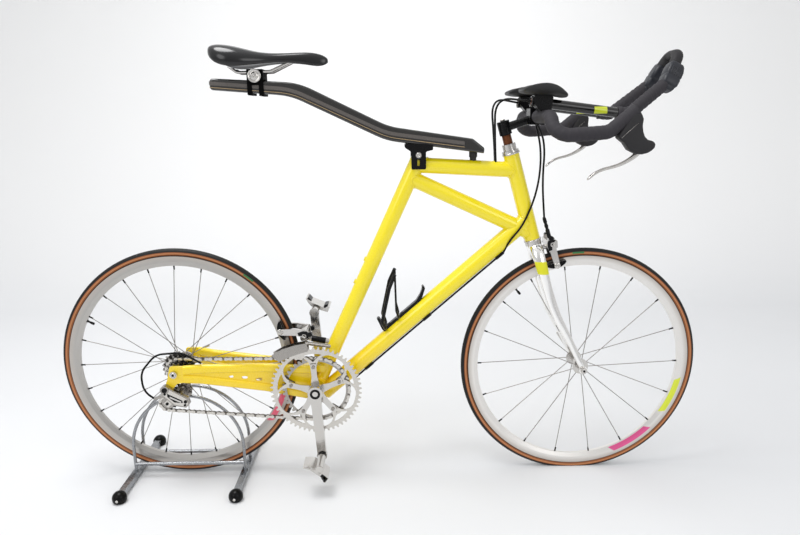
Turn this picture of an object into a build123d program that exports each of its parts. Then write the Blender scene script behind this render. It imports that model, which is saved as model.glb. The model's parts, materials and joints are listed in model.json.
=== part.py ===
from build123d import *
from math import acos, atan2, cos, pi, radians, sin, sqrt
import os

os.makedirs("parts", exist_ok=True)

# Stance: X forward, Y to the rider's left, Z up, floor at zero; drive side at negative Y
WHEELBASE = 1034.0
TYRE_R = 307.0
REAR_LIFT = 10.0

# Fits
RUNNING_FIT = 0.05
MOVING_GAP = 5.0

# Wheels
TYRE_SECTION_R = 10.0
TYRE_HEIGHT = 18.0
RIM_DEPTH = 26.0
RIM_HALF_W = 9.5
RIM_INNER_HALF_W = 4.0
RIM_SHOULDER = 10.0
SPOKE_R = 1.0
FRONT_SPOKES = 18
REAR_SPOKES = 24
REAR_CROSS = 38.0
FLANGE_T = 4.0
FRONT_AXLE_R = 4.5
FRONT_BARREL_R = 9.0
FRONT_FLANGE_R = 20.0
FRONT_FLANGES = (-31.0, 31.0)
FRONT_HUB_END = 41.0
REAR_AXLE_R = 5.0
REAR_BARREL_R = 11.0
REAR_FLANGE_R = 23.0
REAR_FLANGES = (-17.0, 26.0)
REAR_HUB_ENDS = (-20.0, 58.0)

# Frame
SEAT_GAP = 44.0
BB_DROP = 58.5
BB_R = 22.0
BB_HALF_W = 34.0
SEAT_LEAN = 24.57
SEAT_LENGTH = 637.0
SEAT_R = 19.5
HEAD_ANGLE = 74.0
RAKE = 35.0
CROWN_GAP = 34.0
CUP_H = 14.5
UPPER_CUP_H = 10.5
CUP_R = 20.5
HEAD_LENGTH = 217.5
HEAD_R = 19.5
HEAD_BORE_R = 15.0
STEERER_R = 12.7
TOP_R = 19.0
TOP_SEAT_DROP = 14.0
TOP_HEAD_DROP = 39.0
DIAG_R = 19.0
DIAG_SEAT_DROP = 48.0
DIAG_HEAD_RISE = 15.0
DOWN_R = 21.5
DOWN_HEAD_RISE = 51.0
DOWN_BB = (16.0, -25.5)

# Drive
CHAIN_Y = -42.0
RING_OUTER_Y = -49.5
RING_T = 2.4
PITCH = 12.7
RING_OUTER_T = 56
RING_INNER_T = 42
SPROCKET_T = 14
PULLEY_T = 10
BCD_R = 65.0
CRANK_LENGTH = 172.5
CRANK_LEAN = 3.8
CRANK_AXLE_R = 8.5
CRANK_INNER_Y = 62.0
CRANK_OUTER_Y = 76.0
PEDAL_AXLE_R = 5.0
PEDAL_Y0 = 84.0
PEDAL_Y1 = 140.0

# Cockpit, from the top of the head tube
BAR_FORWARD = 56.5
BAR_RISE = 89.0
BAR_R = 14.0
HORN_Y = 190.0
AERO_R = 11.5
CABLE_R = 2.5

# Rim brakes
PAD_DROP = 28.0
PAD_HALF_L = 24.0
PAD_HALF_H = 5.5
PAD_Y1 = 28.0
ARM_Y0 = 20.0

# Display stand
HOOP_R = 145.0
HOOP_Y = 31.5
HOOP_ROD_R = 4.0
HOOP_BELOW_HUB = 77.0
STAND_SHIFT = 6.0
FOOT_Y = 143.0
FOOT_R = 18.0
FOOT_BAR_Z = 20.0
FOOT_BAR_HALF = 8.0
RAIL_Z = 46.0
STAND_RAIL_R = 5.0

# Anchors
REAR_HUB_X = -WHEELBASE / 2
REAR_HUB_Z = TYRE_R + REAR_LIFT
FRONT_HUB_X = WHEELBASE / 2
FRONT_HUB_Z = TYRE_R
BB_X = REAR_HUB_X + TYRE_R + SEAT_GAP
BB_Z = REAR_HUB_Z - BB_DROP
RIM_OUTER_R = TYRE_R - TYRE_HEIGHT
RIM_INNER_R = RIM_OUTER_R - RIM_DEPTH
CROWN_S = TYRE_R + CROWN_GAP
HEAD_LOW_S = CROWN_S + CUP_H
HEAD_TOP_S = HEAD_LOW_S + HEAD_LENGTH


def head(s, out=0.0, y=0.0):
    """A point s up the steering axis from the hub's level, moved forward at right angles by out."""
    a = radians(HEAD_ANGLE)
    x = FRONT_HUB_X - RAKE * sin(a) - s * cos(a) + out * sin(a)
    z = FRONT_HUB_Z - RAKE * cos(a) + s * sin(a) + out * cos(a)
    return (x, y, z)


def seat(t, back=0.0, y=0.0):
    """A point t up the seat tube from the cranks, moved backward at right angles by back."""
    a = radians(SEAT_LEAN)
    return (BB_X + t * sin(a) - back * cos(a), y, BB_Z + t * cos(a) + back * sin(a))


def between(a, b, f):
    return tuple(p + (q - p) * f for p, q in zip(a, b))


def rod(a, b, r):
    a = Vector(*a)
    b = Vector(*b)
    return Solid.make_cylinder(r, (b - a).length, Plane(origin=a, z_dir=b - a))


def drum(x, z, r, y0, y1):
    return rod((x, min(y0, y1), z), (x, max(y0, y1), z), r)


def block(x0, x1, y0, y1, z0, z1):
    return Pos((x0 + x1) / 2, (y0 + y1) / 2, (z0 + z1) / 2) * Box(x1 - x0, y1 - y0, z1 - z0)


def plate(points, y0, y1, corner=0.0, origin=(0.0, 0.0)):
    """A flat shape drawn in X and Z from the origin, between two Y levels."""
    low = min(y0, y1)
    high = max(y0, y1)
    side = Plane(origin=(origin[0], high, origin[1]), x_dir=(1, 0, 0), z_dir=(0, -1, 0))
    edge = Polyline(*points, close=True)
    if corner:
        edge = FilletPolyline(*points, radius=corner, close=True)
    return extrude(side * make_face(edge), amount=high - low)


def pipe(points, r, bend):
    path = FilletPolyline(*points, radius=bend)
    return sweep(Plane(origin=path @ 0, z_dir=path % 0) * Circle(r), path=path)


def together(*shapes):
    """Solids that do not touch, kept in one node."""
    return Compound([s for shape in shapes for s in shape.solids()])


def mirrored(shape):
    return shape.mirror(Plane.XZ)


def tapered(rows, corner=0.0):
    """A body through sections x, y, z, half size in the X-Z plane and across; a corner makes them boxes."""
    faces = []
    for i, (x, y, z, along, across) in enumerate(rows):
        a = rows[max(i - 1, 0)]
        b = rows[min(i + 1, len(rows) - 1)]
        d = (b[0] - a[0], b[1] - a[1], b[2] - a[2])
        section = RectangleRounded(2 * along, 2 * across, corner) if corner else Ellipse(along, across)
        faces.append(Plane(origin=(x, y, z), x_dir=(-d[2], 0, d[0]), z_dir=d) * section)
    return loft(faces, ruled=corner > 0)


def crosswise(x, y, z, w, h, r):
    """A rounded section across the bicycle, w wide and h high."""
    return Plane(origin=(x, y, z), x_dir=(0, 1, 0), z_dir=(1, 0, 0)) * RectangleRounded(w, h, r)


nodes = {}

# Frame tubes, mitred to one another
TOP_REAR = seat(SEAT_LENGTH - TOP_SEAT_DROP)
TOP_FRONT = head(HEAD_TOP_S - TOP_HEAD_DROP)
DIAG_REAR = seat(SEAT_LENGTH - DIAG_SEAT_DROP)
DIAG_FRONT = head(HEAD_LOW_S + DIAG_HEAD_RISE)
DOWN_REAR = (BB_X + DOWN_BB[0], 0, BB_Z + DOWN_BB[1])
DOWN_FRONT = head(HEAD_LOW_S + DOWN_HEAD_RISE)
bb_solid = drum(BB_X, BB_Z, BB_R, -BB_HALF_W, BB_HALF_W)
head_solid = rod(head(HEAD_LOW_S), head(HEAD_TOP_S), HEAD_R)
below_head = rod(head(HEAD_LOW_S - 3 * CUP_H), head(HEAD_LOW_S), CUP_R)
above_head = rod(head(HEAD_TOP_S), head(HEAD_TOP_S + 3 * CUP_H), CUP_R)
head_line = head_solid + below_head + above_head
seat_solid = rod((BB_X, 0, BB_Z), seat(SEAT_LENGTH), SEAT_R) - bb_solid
top_solid = rod(TOP_REAR, TOP_FRONT, TOP_R) - head_line - seat_solid
diag_solid = rod(DIAG_REAR, DIAG_FRONT, DIAG_R) - head_line - seat_solid - top_solid
down_solid = rod(DOWN_REAR, DOWN_FRONT, DOWN_R) - head_line - seat_solid - diag_solid - bb_solid

# Threaded bosses for a second bottle cage behind the seat tube
BOSS_T = (293.0, 357.0)
BOSS_R = 6.0
BOSS_H = 3.0
BOSS_HOLE_R = 2.5
BOSS_DEPTH = 14.0
seat_tube = seat_solid
for t in BOSS_T:
    seat_tube = seat_tube + rod(seat(t, SEAT_R - 4), seat(t, SEAT_R + BOSS_H), BOSS_R)
for t in BOSS_T:
    mouth = SEAT_R + BOSS_H
    seat_tube = seat_tube - rod(seat(t, mouth - BOSS_DEPTH), seat(t, mouth + 1), BOSS_HOLE_R)

axle_bore = drum(BB_X, BB_Z, CRANK_AXLE_R + RUNNING_FIT, -2 * BB_HALF_W, 2 * BB_HALF_W)
nodes["bottom_bracket_shell"] = bb_solid - axle_bore
nodes["head_tube"] = head_solid - rod(head(HEAD_LOW_S - 5), head(HEAD_TOP_S + 5), HEAD_BORE_R)
nodes["seat_tube"] = seat_tube
nodes["top_tube"] = top_solid
nodes["diagonal_tube"] = diag_solid
nodes["down_tube"] = down_solid

# Headset cups: the steerer runs in their bores
cup_bore = rod(head(CROWN_S - 5), head(HEAD_TOP_S + 2 * CUP_H), STEERER_R + RUNNING_FIT)
lower_cup = rod(head(CROWN_S), head(HEAD_LOW_S), CUP_R) - cup_bore
upper_cup = rod(head(HEAD_TOP_S), head(HEAD_TOP_S + UPPER_CUP_H), CUP_R) - cup_bore
nodes["headset_cups"] = together(lower_cup, upper_cup)

# Stays: two runs each side with a pierced web between
STAY_W = 16.0
STAY_H = 23.0
STAY_CORNER = 7.0
WEB_T = 5.0
STAY_HUB_Z = (10.0, -9.0)
STAY_BB_Z = (46.5, -27.0)
STAY_ROWS = [
    # share of the way from hub to cranks, y
    (0.065, 67.5),
    (0.185, 53.0),
    (0.62, 27.0),
    (0.995, 25.0),
]
WEB_HOLES = [
    # share of the way, below the middle, half length, half height
    (0.382, 3.0, 6.5, 4.0),
    (0.476, 3.0, 8.5, 5.0),
    (0.576, 6.0, 10.0, 5.5),
]


def stay_z(f, run):
    return (REAR_HUB_Z + STAY_HUB_Z[run]) * (1 - f) + (BB_Z + STAY_BB_Z[run]) * f


def stay_x(f):
    return REAR_HUB_X + (BB_X - REAR_HUB_X) * f


def stay(side):
    body = None
    for run in (0, 1):
        faces = []
        for f, y in STAY_ROWS:
            faces.append(crosswise(stay_x(f), side * y, stay_z(f, run), STAY_W, STAY_H, STAY_CORNER))
        body = loft(faces, ruled=True) if body is None else body + loft(faces, ruled=True)
    webs = []
    for f, y in STAY_ROWS:
        upper = stay_z(f, 0)
        lower = stay_z(f, 1)
        webs.append(crosswise(stay_x(f), side * y, (upper + lower) / 2, WEB_T, upper - lower, 1.0))
    body = body + loft(webs, ruled=True)
    for f, below, half_l, half_h in WEB_HOLES:
        middle = (stay_x(f), (stay_z(f, 0) + stay_z(f, 1)) / 2 - below)
        hole = [
            (-half_l, 0.6 * half_h),
            (half_l, half_h),
            (0.7 * half_l, -half_h),
            (-0.6 * half_l, -0.8 * half_h),
        ]
        body = body - plate(hole, 0, side * 100, 2.0, middle)
    return body - bb_solid - seat_solid - down_solid


stay_right = stay(-1)
stay_left = mirrored(stay_right)
YOKE_HALF_W = 24.0
YOKE_H = 16.0
yoke_front = seat((stay_z(1, 0) - BB_Z) / cos(radians(SEAT_LEAN)))[0]
yoke_back = REAR_HUB_X + TYRE_R + 2 * MOVING_GAP
yoke_z = stay_z(0.95, 0)
yoke = block(yoke_back, yoke_front, -YOKE_HALF_W, YOKE_HALF_W, yoke_z - YOKE_H / 2, yoke_z + YOKE_H / 2)
nodes["stay_right"] = stay_right
nodes["stay_left"] = stay_left
nodes["stay_yoke"] = yoke - seat_solid - stay_right - stay_left - bb_solid

# Dropouts, the right one with the derailleur hanger, and the rear axle with its quick release
DROP_IN = 65.0
DROP_OUT = 71.0
QR_R = 9.0
QR_T = 9.0
HANGER = (-23.0, -38.0)
DROP_SHAPE = [(-19, -17), (-10, 19), (25, 19), (27, -23), (5, -27)]
HANGER_SHAPE = DROP_SHAPE + [(HANGER[0] + 10, HANGER[1] - 11), (HANGER[0] - 8, HANGER[1] - 7)]
hub = (REAR_HUB_X, REAR_HUB_Z)
rear_axle_core = drum(*hub, REAR_AXLE_R, -DROP_OUT, DROP_OUT)
hanger = (REAR_HUB_X + HANGER[0], REAR_HUB_Z + HANGER[1])
hanger_bolt = drum(*hanger, 4.0, -DROP_OUT, -DROP_IN)
dropout_right = plate(HANGER_SHAPE, -DROP_OUT, -DROP_IN, 4.0, hub) - rear_axle_core - stay_right - hanger_bolt
dropout_left = plate(DROP_SHAPE, DROP_IN, DROP_OUT, 4.0, hub) - rear_axle_core - stay_left
nodes["dropouts"] = together(dropout_right, dropout_left)


def quick_release(x, z, r, face, lever):
    """Axle caps outside both faces; the lever on the left side ends at the offset given."""
    nut = drum(x, z, r, -face - QR_T, -face)
    cap = drum(x, z, r, face, face + QR_T)
    arm = rod((x, face + QR_T - 3, z), (x + lever[0], face + QR_T + 1, z + lever[1]), 3.5)
    return nut, cap + arm


rear_nut, rear_cap = quick_release(*hub, QR_R, DROP_OUT, (48, 20))
nodes["rear_axle"] = rear_axle_core + rear_nut + rear_cap

# Beam, its bracket over the seat cluster and its stop on the top tube
BEAM_HALF_W = 25.0
BEAM_EDGE_R = 5.0
BEAM_BEND_R = 170.0
BEAM_END_R = 8.0
NOSE_SHARE = 0.7025
TOP_SHARE = 0.5755
CLUSTER = seat(SEAT_LENGTH)
nose_run = head(HEAD_TOP_S)[0] - CLUSTER[0]
NOSE_X = NOSE_SHARE * nose_run
BEAM_TOP = [(-487.0, 192.5), (-281.0, 181.5), (-71.0, 80.0), (TOP_SHARE * nose_run, 49.5)]
BEAM_NOSE = [(NOSE_X, 27.0), (NOSE_X - 2, 14.5)]
BEAM_LOW = [(-77.0, 46.5), (-301.0, 151.5), (-487.0, 166.0)]
cluster = (CLUSTER[0], CLUSTER[2])
beam_face = make_face(Polyline(*BEAM_TOP, *BEAM_NOSE, *BEAM_LOW, close=True))
bends = [BEAM_TOP[1], BEAM_TOP[2], BEAM_LOW[0], BEAM_LOW[1]]
ends = [BEAM_TOP[0], BEAM_TOP[3], BEAM_NOSE[0], BEAM_LOW[2]]


def corners(face, points):
    return [v for v in face.vertices() for p in points if abs(v.X - p[0]) + abs(v.Y - p[1]) < 0.01]


beam_face = fillet(corners(beam_face, bends), BEAM_BEND_R)
beam_face = fillet(corners(beam_face, ends), BEAM_END_R)
beam_plane = Plane(origin=(cluster[0], BEAM_HALF_W, cluster[1]), x_dir=(1, 0, 0), z_dir=(0, -1, 0))
beam_block = extrude(beam_plane * beam_face, amount=2 * BEAM_HALF_W)
long_edges = [e for e in beam_block.edges() if abs(abs(e.center().Y) - BEAM_HALF_W) < 0.01]
beam_solid = fillet(long_edges, BEAM_EDGE_R)
nodes["beam"] = beam_solid

BRACKET_HALF_W = 25.0
CHEEK_T = 5.5
BRACKET_BOLT = (0.0, 12.0)
BRACKET_SHAPE = [(-33, 39), (-33, 30), (-18, 20), (-17, -22), (18, -22), (18, 20), (35, 24), (35, 39)]
bracket = plate(BRACKET_SHAPE, -BRACKET_HALF_W, BRACKET_HALF_W, 3.5, cluster)
inside = BRACKET_HALF_W - CHEEK_T
bracket = bracket - block(CLUSTER[0] - 50, CLUSTER[0] + 50, -inside, inside, CLUSTER[2] - 40, CLUSTER[2] + 22)
for side in (-1, 1):
    slot = [(-3, 2), (3, 2), (3, -14), (-3, -14)]
    bracket = bracket - plate(slot, side * (inside - 1), side * (BRACKET_HALF_W + 1), 2.5, cluster)
bolt_x = CLUSTER[0] + BRACKET_BOLT[0]
bolt_z = CLUSTER[2] + BRACKET_BOLT[1]
bolts = []
for side in (-1, 1):
    shank = drum(bolt_x, bolt_z, 4.0, side * inside, side * BRACKET_HALF_W)
    bolts.append(shank + drum(bolt_x, bolt_z, 7.0, side * BRACKET_HALF_W, side * (BRACKET_HALF_W + 5)))
bracket = bracket - beam_solid - seat_solid - top_solid - diag_solid - bolts[0] - bolts[1]
nodes["beam_bracket"] = bracket
nodes["beam_bolt"] = together(*bolts)
STOP_SHARE = 0.575
STOP_RISE = 18.9742
STOP_FLANGE = 4.9742
stop_at = between(TOP_REAR, TOP_FRONT, STOP_SHARE)
stop_high = (stop_at[0], 0, CLUSTER[2] + STOP_RISE)
stop = rod(stop_at, stop_high, 8.0)
stop = stop + rod((stop_at[0], 0, CLUSTER[2] + STOP_FLANGE), stop_high, 10.0)
nodes["beam_stop"] = stop - beam_solid - top_solid

# Saddle, rails and clamp, from the seat cluster
SADDLE_ROWS = [
    # x, half width, top z, bottom z
    (-488.0, 34.0, 260.0, 242.0),
    (-469.0, 60.0, 269.0, 224.0),
    (-431.0, 68.0, 265.0, 214.0),
    (-384.0, 48.0, 252.0, 222.0),
    (-334.0, 30.0, 248.0, 225.0),
    (-274.0, 21.0, 250.0, 226.0),
    (-229.0, 15.0, 248.0, 224.0),
    (-211.0, 9.0, 241.0, 228.0),
]
SADDLE_EDGE = 8.0
faces = []
for x, half_w, top, low in SADDLE_ROWS:
    corner = min(SADDLE_EDGE, 0.45 * (top - low))
    faces.append(crosswise(CLUSTER[0] + x, 0, CLUSTER[2] + (top + low) / 2, 2 * half_w, top - low, corner))
saddle_solid = loft(faces, ruled=True)
nodes["saddle"] = saddle_solid

RAIL_R = 3.5
RAIL_Y = 20.0
RAIL_PATH = [(-451.0, RAIL_Y, 226.0), (-421.0, RAIL_Y, 205.0), (-344.0, RAIL_Y, 207.0), (-289.0, 12.0, 232.0)]
rail_points = [(CLUSTER[0] + x, y, CLUSTER[2] + z) for x, y, z in RAIL_PATH]
rail = pipe(rail_points, RAIL_R, 12.0) - saddle_solid
nodes["saddle_rails"] = together(rail, mirrored(rail))
CLAMP_X = (-399.0, -361.0)
STRAP_W = 11.0
KNOB_R = 14.5
KNOB_RISE = 197.0
clamp_x0 = CLUSTER[0] + CLAMP_X[0]
clamp_x1 = CLUSTER[0] + CLAMP_X[1]
clamp = block(clamp_x0, clamp_x1, -28, 28, CLUSTER[2] + 176, CLUSTER[2] + 212)
for strap_x in (clamp_x0, clamp_x1 - STRAP_W):
    clamp = clamp + block(strap_x, strap_x + STRAP_W, -29, 29, CLUSTER[2] + 145, CLUSTER[2] + 190)
clamp = clamp + drum((clamp_x0 + clamp_x1) / 2, CLUSTER[2] + KNOB_RISE, KNOB_R, -33, 33)
nodes["saddle_clamp"] = clamp - beam_solid - rail - mirrored(rail) - saddle_solid

# Wheels


def rim(x, z):
    shape = Polyline(
        (RIM_INNER_R, -RIM_INNER_HALF_W),
        (RIM_INNER_R, RIM_INNER_HALF_W),
        (RIM_INNER_R + RIM_SHOULDER, RIM_HALF_W - 1),
        (RIM_OUTER_R, RIM_HALF_W),
        (RIM_OUTER_R, -RIM_HALF_W),
        (RIM_INNER_R + RIM_SHOULDER, -RIM_HALF_W + 1),
        close=True,
    )
    return Pos(x, 0, z) * revolve(make_face(shape), Axis.Y)


def tyre(x, z):
    inside_rim = Pos(RIM_OUTER_R - TYRE_HEIGHT, 0) * Rectangle(2 * TYRE_HEIGHT, 4 * TYRE_SECTION_R)
    shape = Pos(TYRE_R - TYRE_SECTION_R, 0) * Circle(TYRE_SECTION_R) - inside_rim
    return Pos(x, 0, z) * revolve(shape, Axis.Y)


def wheel_hub(x, z, barrel, flange_r, flanges, ends, bore):
    body = drum(x, z, barrel, *ends)
    for y in flanges:
        body = body + drum(x, z, flange_r, y - FLANGE_T / 2, y + FLANGE_T / 2)
    return body - drum(x, z, bore, 2 * ends[0], 2 * ends[1])


def spokes(x, z, body, felly, count, flange_r, flanges, cross):
    """Spokes from both flanges to the rim; cross is the angle by which a hole leads or trails its spoke."""
    out = []
    for i in range(count):
        turn = 2 * pi * i / count
        lead = 1 if (i // 2) % 2 else -1
        flange = flanges[i % 2]
        start_turn = turn + lead * radians(cross)
        shift = lead * 0.4 * FLANGE_T if cross else 0.0
        start = (x + flange_r * cos(start_turn), flange + shift, z + flange_r * sin(start_turn))
        end = (x + RIM_INNER_R * cos(turn), SPOKE_R if flange > 0 else -SPOKE_R, z + RIM_INNER_R * sin(turn))
        out.append(rod(start, end, SPOKE_R) - body - felly)
    return together(*out)


WHEEL_TABLE = [
    # name, x, z, barrel, flange radius, flanges, ends, axle radius, spokes, cross
    (
        "front", FRONT_HUB_X, FRONT_HUB_Z, FRONT_BARREL_R, FRONT_FLANGE_R, FRONT_FLANGES,
        (-FRONT_HUB_END, FRONT_HUB_END), FRONT_AXLE_R, FRONT_SPOKES, 0.0,
    ),
    (
        "rear", REAR_HUB_X, REAR_HUB_Z, REAR_BARREL_R, REAR_FLANGE_R, REAR_FLANGES,
        REAR_HUB_ENDS, REAR_AXLE_R, REAR_SPOKES, REAR_CROSS,
    ),
]
for name, x, z, barrel, flange_r, flanges, hub_ends, axle_r, count, cross in WHEEL_TABLE:
    body = wheel_hub(x, z, barrel, flange_r, flanges, hub_ends, axle_r + RUNNING_FIT)
    felly = rim(x, z)
    nodes[name + "_rim"] = felly
    nodes[name + "_tyre"] = tyre(x, z)
    nodes[name + "_hub"] = body
    nodes[name + "_spokes"] = spokes(x, z, body, felly, count, flange_r, flanges, cross)

# Chainrings, cranks and pedals


def crank_dir(length, turn=0.0):
    """Offset in X and Z from the crank axle; zero turn lies along the right crank."""
    a = radians(CRANK_LEAN + turn)
    return (length * sin(a), -length * cos(a))


def around(points, turn):
    """Points given along and across a crank direction, turned into X and Z from the crank axle."""
    a = radians(CRANK_LEAN + turn)
    return [(along * sin(a) + across * cos(a), -along * cos(a) + across * sin(a)) for along, across in points]


bb = (BB_X, BB_Z)
TOOTH_H = 4.0
outer_pitch_r = RING_OUTER_T * PITCH / (2 * pi)
inner_pitch_r = RING_INNER_T * PITCH / (2 * pi)


def toothed(pitch_r, teeth, y):
    root = pitch_r - TOOTH_H
    tip = pitch_r + 0.75 * TOOTH_H
    points = []
    for i in range(teeth):
        for share, r in ((-0.4, root), (-0.16, tip), (0.16, tip), (0.4, root)):
            a = 2 * pi * (i + share) / teeth
            points.append((r * cos(a), r * sin(a)))
    return plate(points, y - RING_T / 2, y + RING_T / 2, 0.0, bb)


WINDOW_OUT = 19.0
WINDOW_ARM = 9.5
WINDOW_IN = 46.0
outer_ring = toothed(outer_pitch_r, RING_OUTER_T, RING_OUTER_Y)
outer_ring = outer_ring - drum(*bb, WINDOW_IN + 8, RING_OUTER_Y - RING_T, RING_OUTER_Y + RING_T)
window_r = outer_pitch_r - WINDOW_OUT
window_half = radians(36) - WINDOW_ARM / window_r
window_low = radians(36) - WINDOW_ARM / WINDOW_IN
window = []
for share in (-1, -0.6, -0.2, 0.2, 0.6, 1):
    window.append((window_r * cos(window_half * share), window_r * sin(window_half * share)))
for share in (1, -1):
    window.append((WINDOW_IN * cos(window_low), share * WINDOW_IN * sin(window_low)))
for k in range(5):
    shape = around(window, 216 + 72 * k)
    outer_ring = outer_ring - plate(shape, RING_OUTER_Y - RING_T, RING_OUTER_Y + RING_T, 6.0, bb)
inner_ring = toothed(inner_pitch_r, RING_INNER_T, CHAIN_Y)
RING_BAND = 9.0
RING_TAB = 8.0
inner_ring = inner_ring - drum(*bb, inner_pitch_r - RING_BAND, CHAIN_Y - RING_T, CHAIN_Y + RING_T)
tab_in = BCD_R - RING_TAB
tab_out = inner_pitch_r - RING_BAND + 3
for k in range(5):
    tab = around([(tab_in, 6), (tab_out, 12), (tab_out, -12), (tab_in, -6)], 180 + 72 * k)
    inner_ring = inner_ring + plate(tab, CHAIN_Y - RING_T / 2, CHAIN_Y + RING_T / 2, 0.0, bb)

SPIDER_T = 4.5
BOLT_R = 5.0
spider_y1 = RING_OUTER_Y - RING_T / 2
spider_y0 = spider_y1 - SPIDER_T
spider = drum(*bb, 21.0, -CRANK_INNER_Y, spider_y1)
for k in range(5):
    turn = 180 + 72 * k
    arm = around([(10, 12), (40, 7), (BCD_R + 8, 7.5), (BCD_R + 8, -7.5), (40, -7), (10, -12)], turn)
    spider = spider + plate(arm, spider_y0, spider_y1, 0.0, bb)
    dx, dz = crank_dir(BCD_R, turn)
    spider = spider + drum(BB_X + dx, BB_Z + dz, BOLT_R, spider_y0 - 2, CHAIN_Y - RING_T / 2)

ARM_BB_R = 19.0
ARM_PEDAL_R = 13.0


def crank_arm(turn, y0, y1):
    arm = around([(0, 15), (40, 12.5), (CRANK_LENGTH, 11), (CRANK_LENGTH, -11), (40, -12.5), (0, -15)], turn)
    ex, ez = crank_dir(CRANK_LENGTH, turn)
    eye = drum(BB_X + ex, BB_Z + ez, ARM_PEDAL_R, y0, y1)
    return plate(arm, y0, y1, 0.0, bb) + drum(*bb, ARM_BB_R, y0, y1) + eye


crank_axle = drum(*bb, CRANK_AXLE_R, -CRANK_OUTER_Y + 4, CRANK_OUTER_Y - 4)
cranks = {
    "right": crank_arm(0, -CRANK_OUTER_Y, -CRANK_INNER_Y) + spider - crank_axle - outer_ring,
    "left": crank_arm(180, CRANK_INNER_Y, CRANK_OUTER_Y) - crank_axle,
}
nodes["crank_axle"] = crank_axle
nodes["chainring_outer"] = outer_ring
nodes["chainring_inner"] = inner_ring - cranks["right"]

PEDAL_BARREL_R = 10.5
PEDAL_WING = [
    # along the platform, away from the axle
    (-36, 20), (-33, 21.5), (-18, 16), (22, 16), (27, 24), (33, 23), (33, 8), (16, 6), (-14, 6), (-26, 12),
]
PEDALS = [
    # name, side, crank turn, tilt of the platform, +1 where it lies above the axle
    ("right", -1, 0, -37.0, -1),
    ("left", 1, 180, -24.0, 1),
]
for name, side, turn, tilt, face in PEDALS:
    ex, ez = crank_dir(CRANK_LENGTH, turn)
    at = (BB_X + ex, BB_Z + ez)
    axle_end = side * (PEDAL_Y1 - 10)
    nodes["crank_" + name] = cranks[name] + drum(*at, PEDAL_AXLE_R, side * CRANK_OUTER_Y, axle_end)
    a = radians(tilt)
    wing = [(u * cos(a) - face * v * sin(a), u * sin(a) + face * v * cos(a)) for u, v in PEDAL_WING]
    body = drum(*at, PEDAL_BARREL_R, side * PEDAL_Y0, side * PEDAL_Y1)
    body = body + plate(wing, side * (PEDAL_Y0 + 4), side * PEDAL_Y1, 0.0, at)
    nodes["pedal_" + name] = body - drum(*at, PEDAL_AXLE_R + RUNNING_FIT, 0, axle_end + side * MOVING_GAP)

# Chain round the sprocket, the inner ring and both pulleys
sprocket_r = SPROCKET_T * PITCH / (2 * pi)
pulley_r = PULLEY_T * PITCH / (2 * pi)
UPPER_PULLEY = (REAR_HUB_X + 9.0, REAR_HUB_Z - 55.0)
LOWER_PULLEY = (REAR_HUB_X - 33.0, REAR_HUB_Z - 91.0)
LINK_HALF_H = 4.2
LINK_T = 1.2
LINK_GAP = 2.0
CHAIN_WHEELS = [
    # centre, pitch radius, +1 where the chain turns clockwise seen from the drive side
    (hub, sprocket_r, 1),
    (bb, inner_pitch_r, 1),
    (LOWER_PULLEY, pulley_r, 1),
    (UPPER_PULLEY, pulley_r, -1),
]


def tangent(c0, r0, s0, c1, r1, s1):
    """Straight run of the chain from one wheel to the next."""
    dx = c1[0] - c0[0]
    dz = c1[1] - c0[1]
    a = atan2(dz, dx) + acos((s0 * r0 - s1 * r1) / sqrt(dx * dx + dz * dz))
    start = (c0[0] + s0 * r0 * cos(a), c0[1] + s0 * r0 * sin(a))
    return start, (c1[0] + s1 * r1 * cos(a), c1[1] + s1 * r1 * sin(a))


def chain_loop(offset):
    """Face inside the chain line moved outward by offset."""
    runs = []
    for i, (c0, r0, s0) in enumerate(CHAIN_WHEELS):
        c1, r1, s1 = CHAIN_WHEELS[(i + 1) % len(CHAIN_WHEELS)]
        runs.append(tangent(c0, r0 + s0 * offset, s0, c1, r1 + s1 * offset, s1))
    edges = []
    for i, (c, r, s) in enumerate(CHAIN_WHEELS):
        first = runs[i - 1][1]
        last = runs[i][0]
        a0 = atan2(first[1] - c[1], first[0] - c[0])
        a1 = atan2(last[1] - c[1], last[0] - c[0])
        middle = a0 - s * ((a0 - a1) * s % (2 * pi)) / 2
        reach = r + s * offset
        edges.append(ThreePointArc(first, (c[0] + reach * cos(middle), c[1] + reach * sin(middle)), last))
        edges.append(Line(last, runs[i][1]))
    return make_face(edges)


ribbon = chain_loop(LINK_HALF_H) - chain_loop(-LINK_HALF_H)
chain_sides = []
for y1 in (CHAIN_Y + LINK_GAP + LINK_T, CHAIN_Y - LINK_GAP):
    side_plane = Plane(origin=(0, y1, 0), x_dir=(1, 0, 0), z_dir=(0, -1, 0))
    chain_sides.append(extrude(side_plane * ribbon, amount=LINK_T))
ROLLER_R = 3.0
RING_CLEAR = 42.0
SPROCKET_CLEAR = 12.0
CHAIN_RUNS = [
    # start and end of the straight run, bare length at each end
    (*tangent(hub, sprocket_r, 1, bb, inner_pitch_r, 1), (SPROCKET_CLEAR, RING_CLEAR)),
    (*tangent(bb, inner_pitch_r, 1, LOWER_PULLEY, pulley_r, 1), (RING_CLEAR, SPROCKET_CLEAR)),
]
chain = chain_sides[0] + chain_sides[1]
for start, end, clear in CHAIN_RUNS:
    length = sqrt((end[0] - start[0]) ** 2 + (end[1] - start[1]) ** 2)
    for i in range(int((length - sum(clear)) / (4 * PITCH)) + 1):
        px, pz = between(start, end, (clear[0] + 4 * PITCH * i) / length)
        chain = chain + drum(px, pz, ROLLER_R, CHAIN_Y - LINK_GAP, CHAIN_Y + LINK_GAP)
nodes["chain"] = chain

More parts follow.
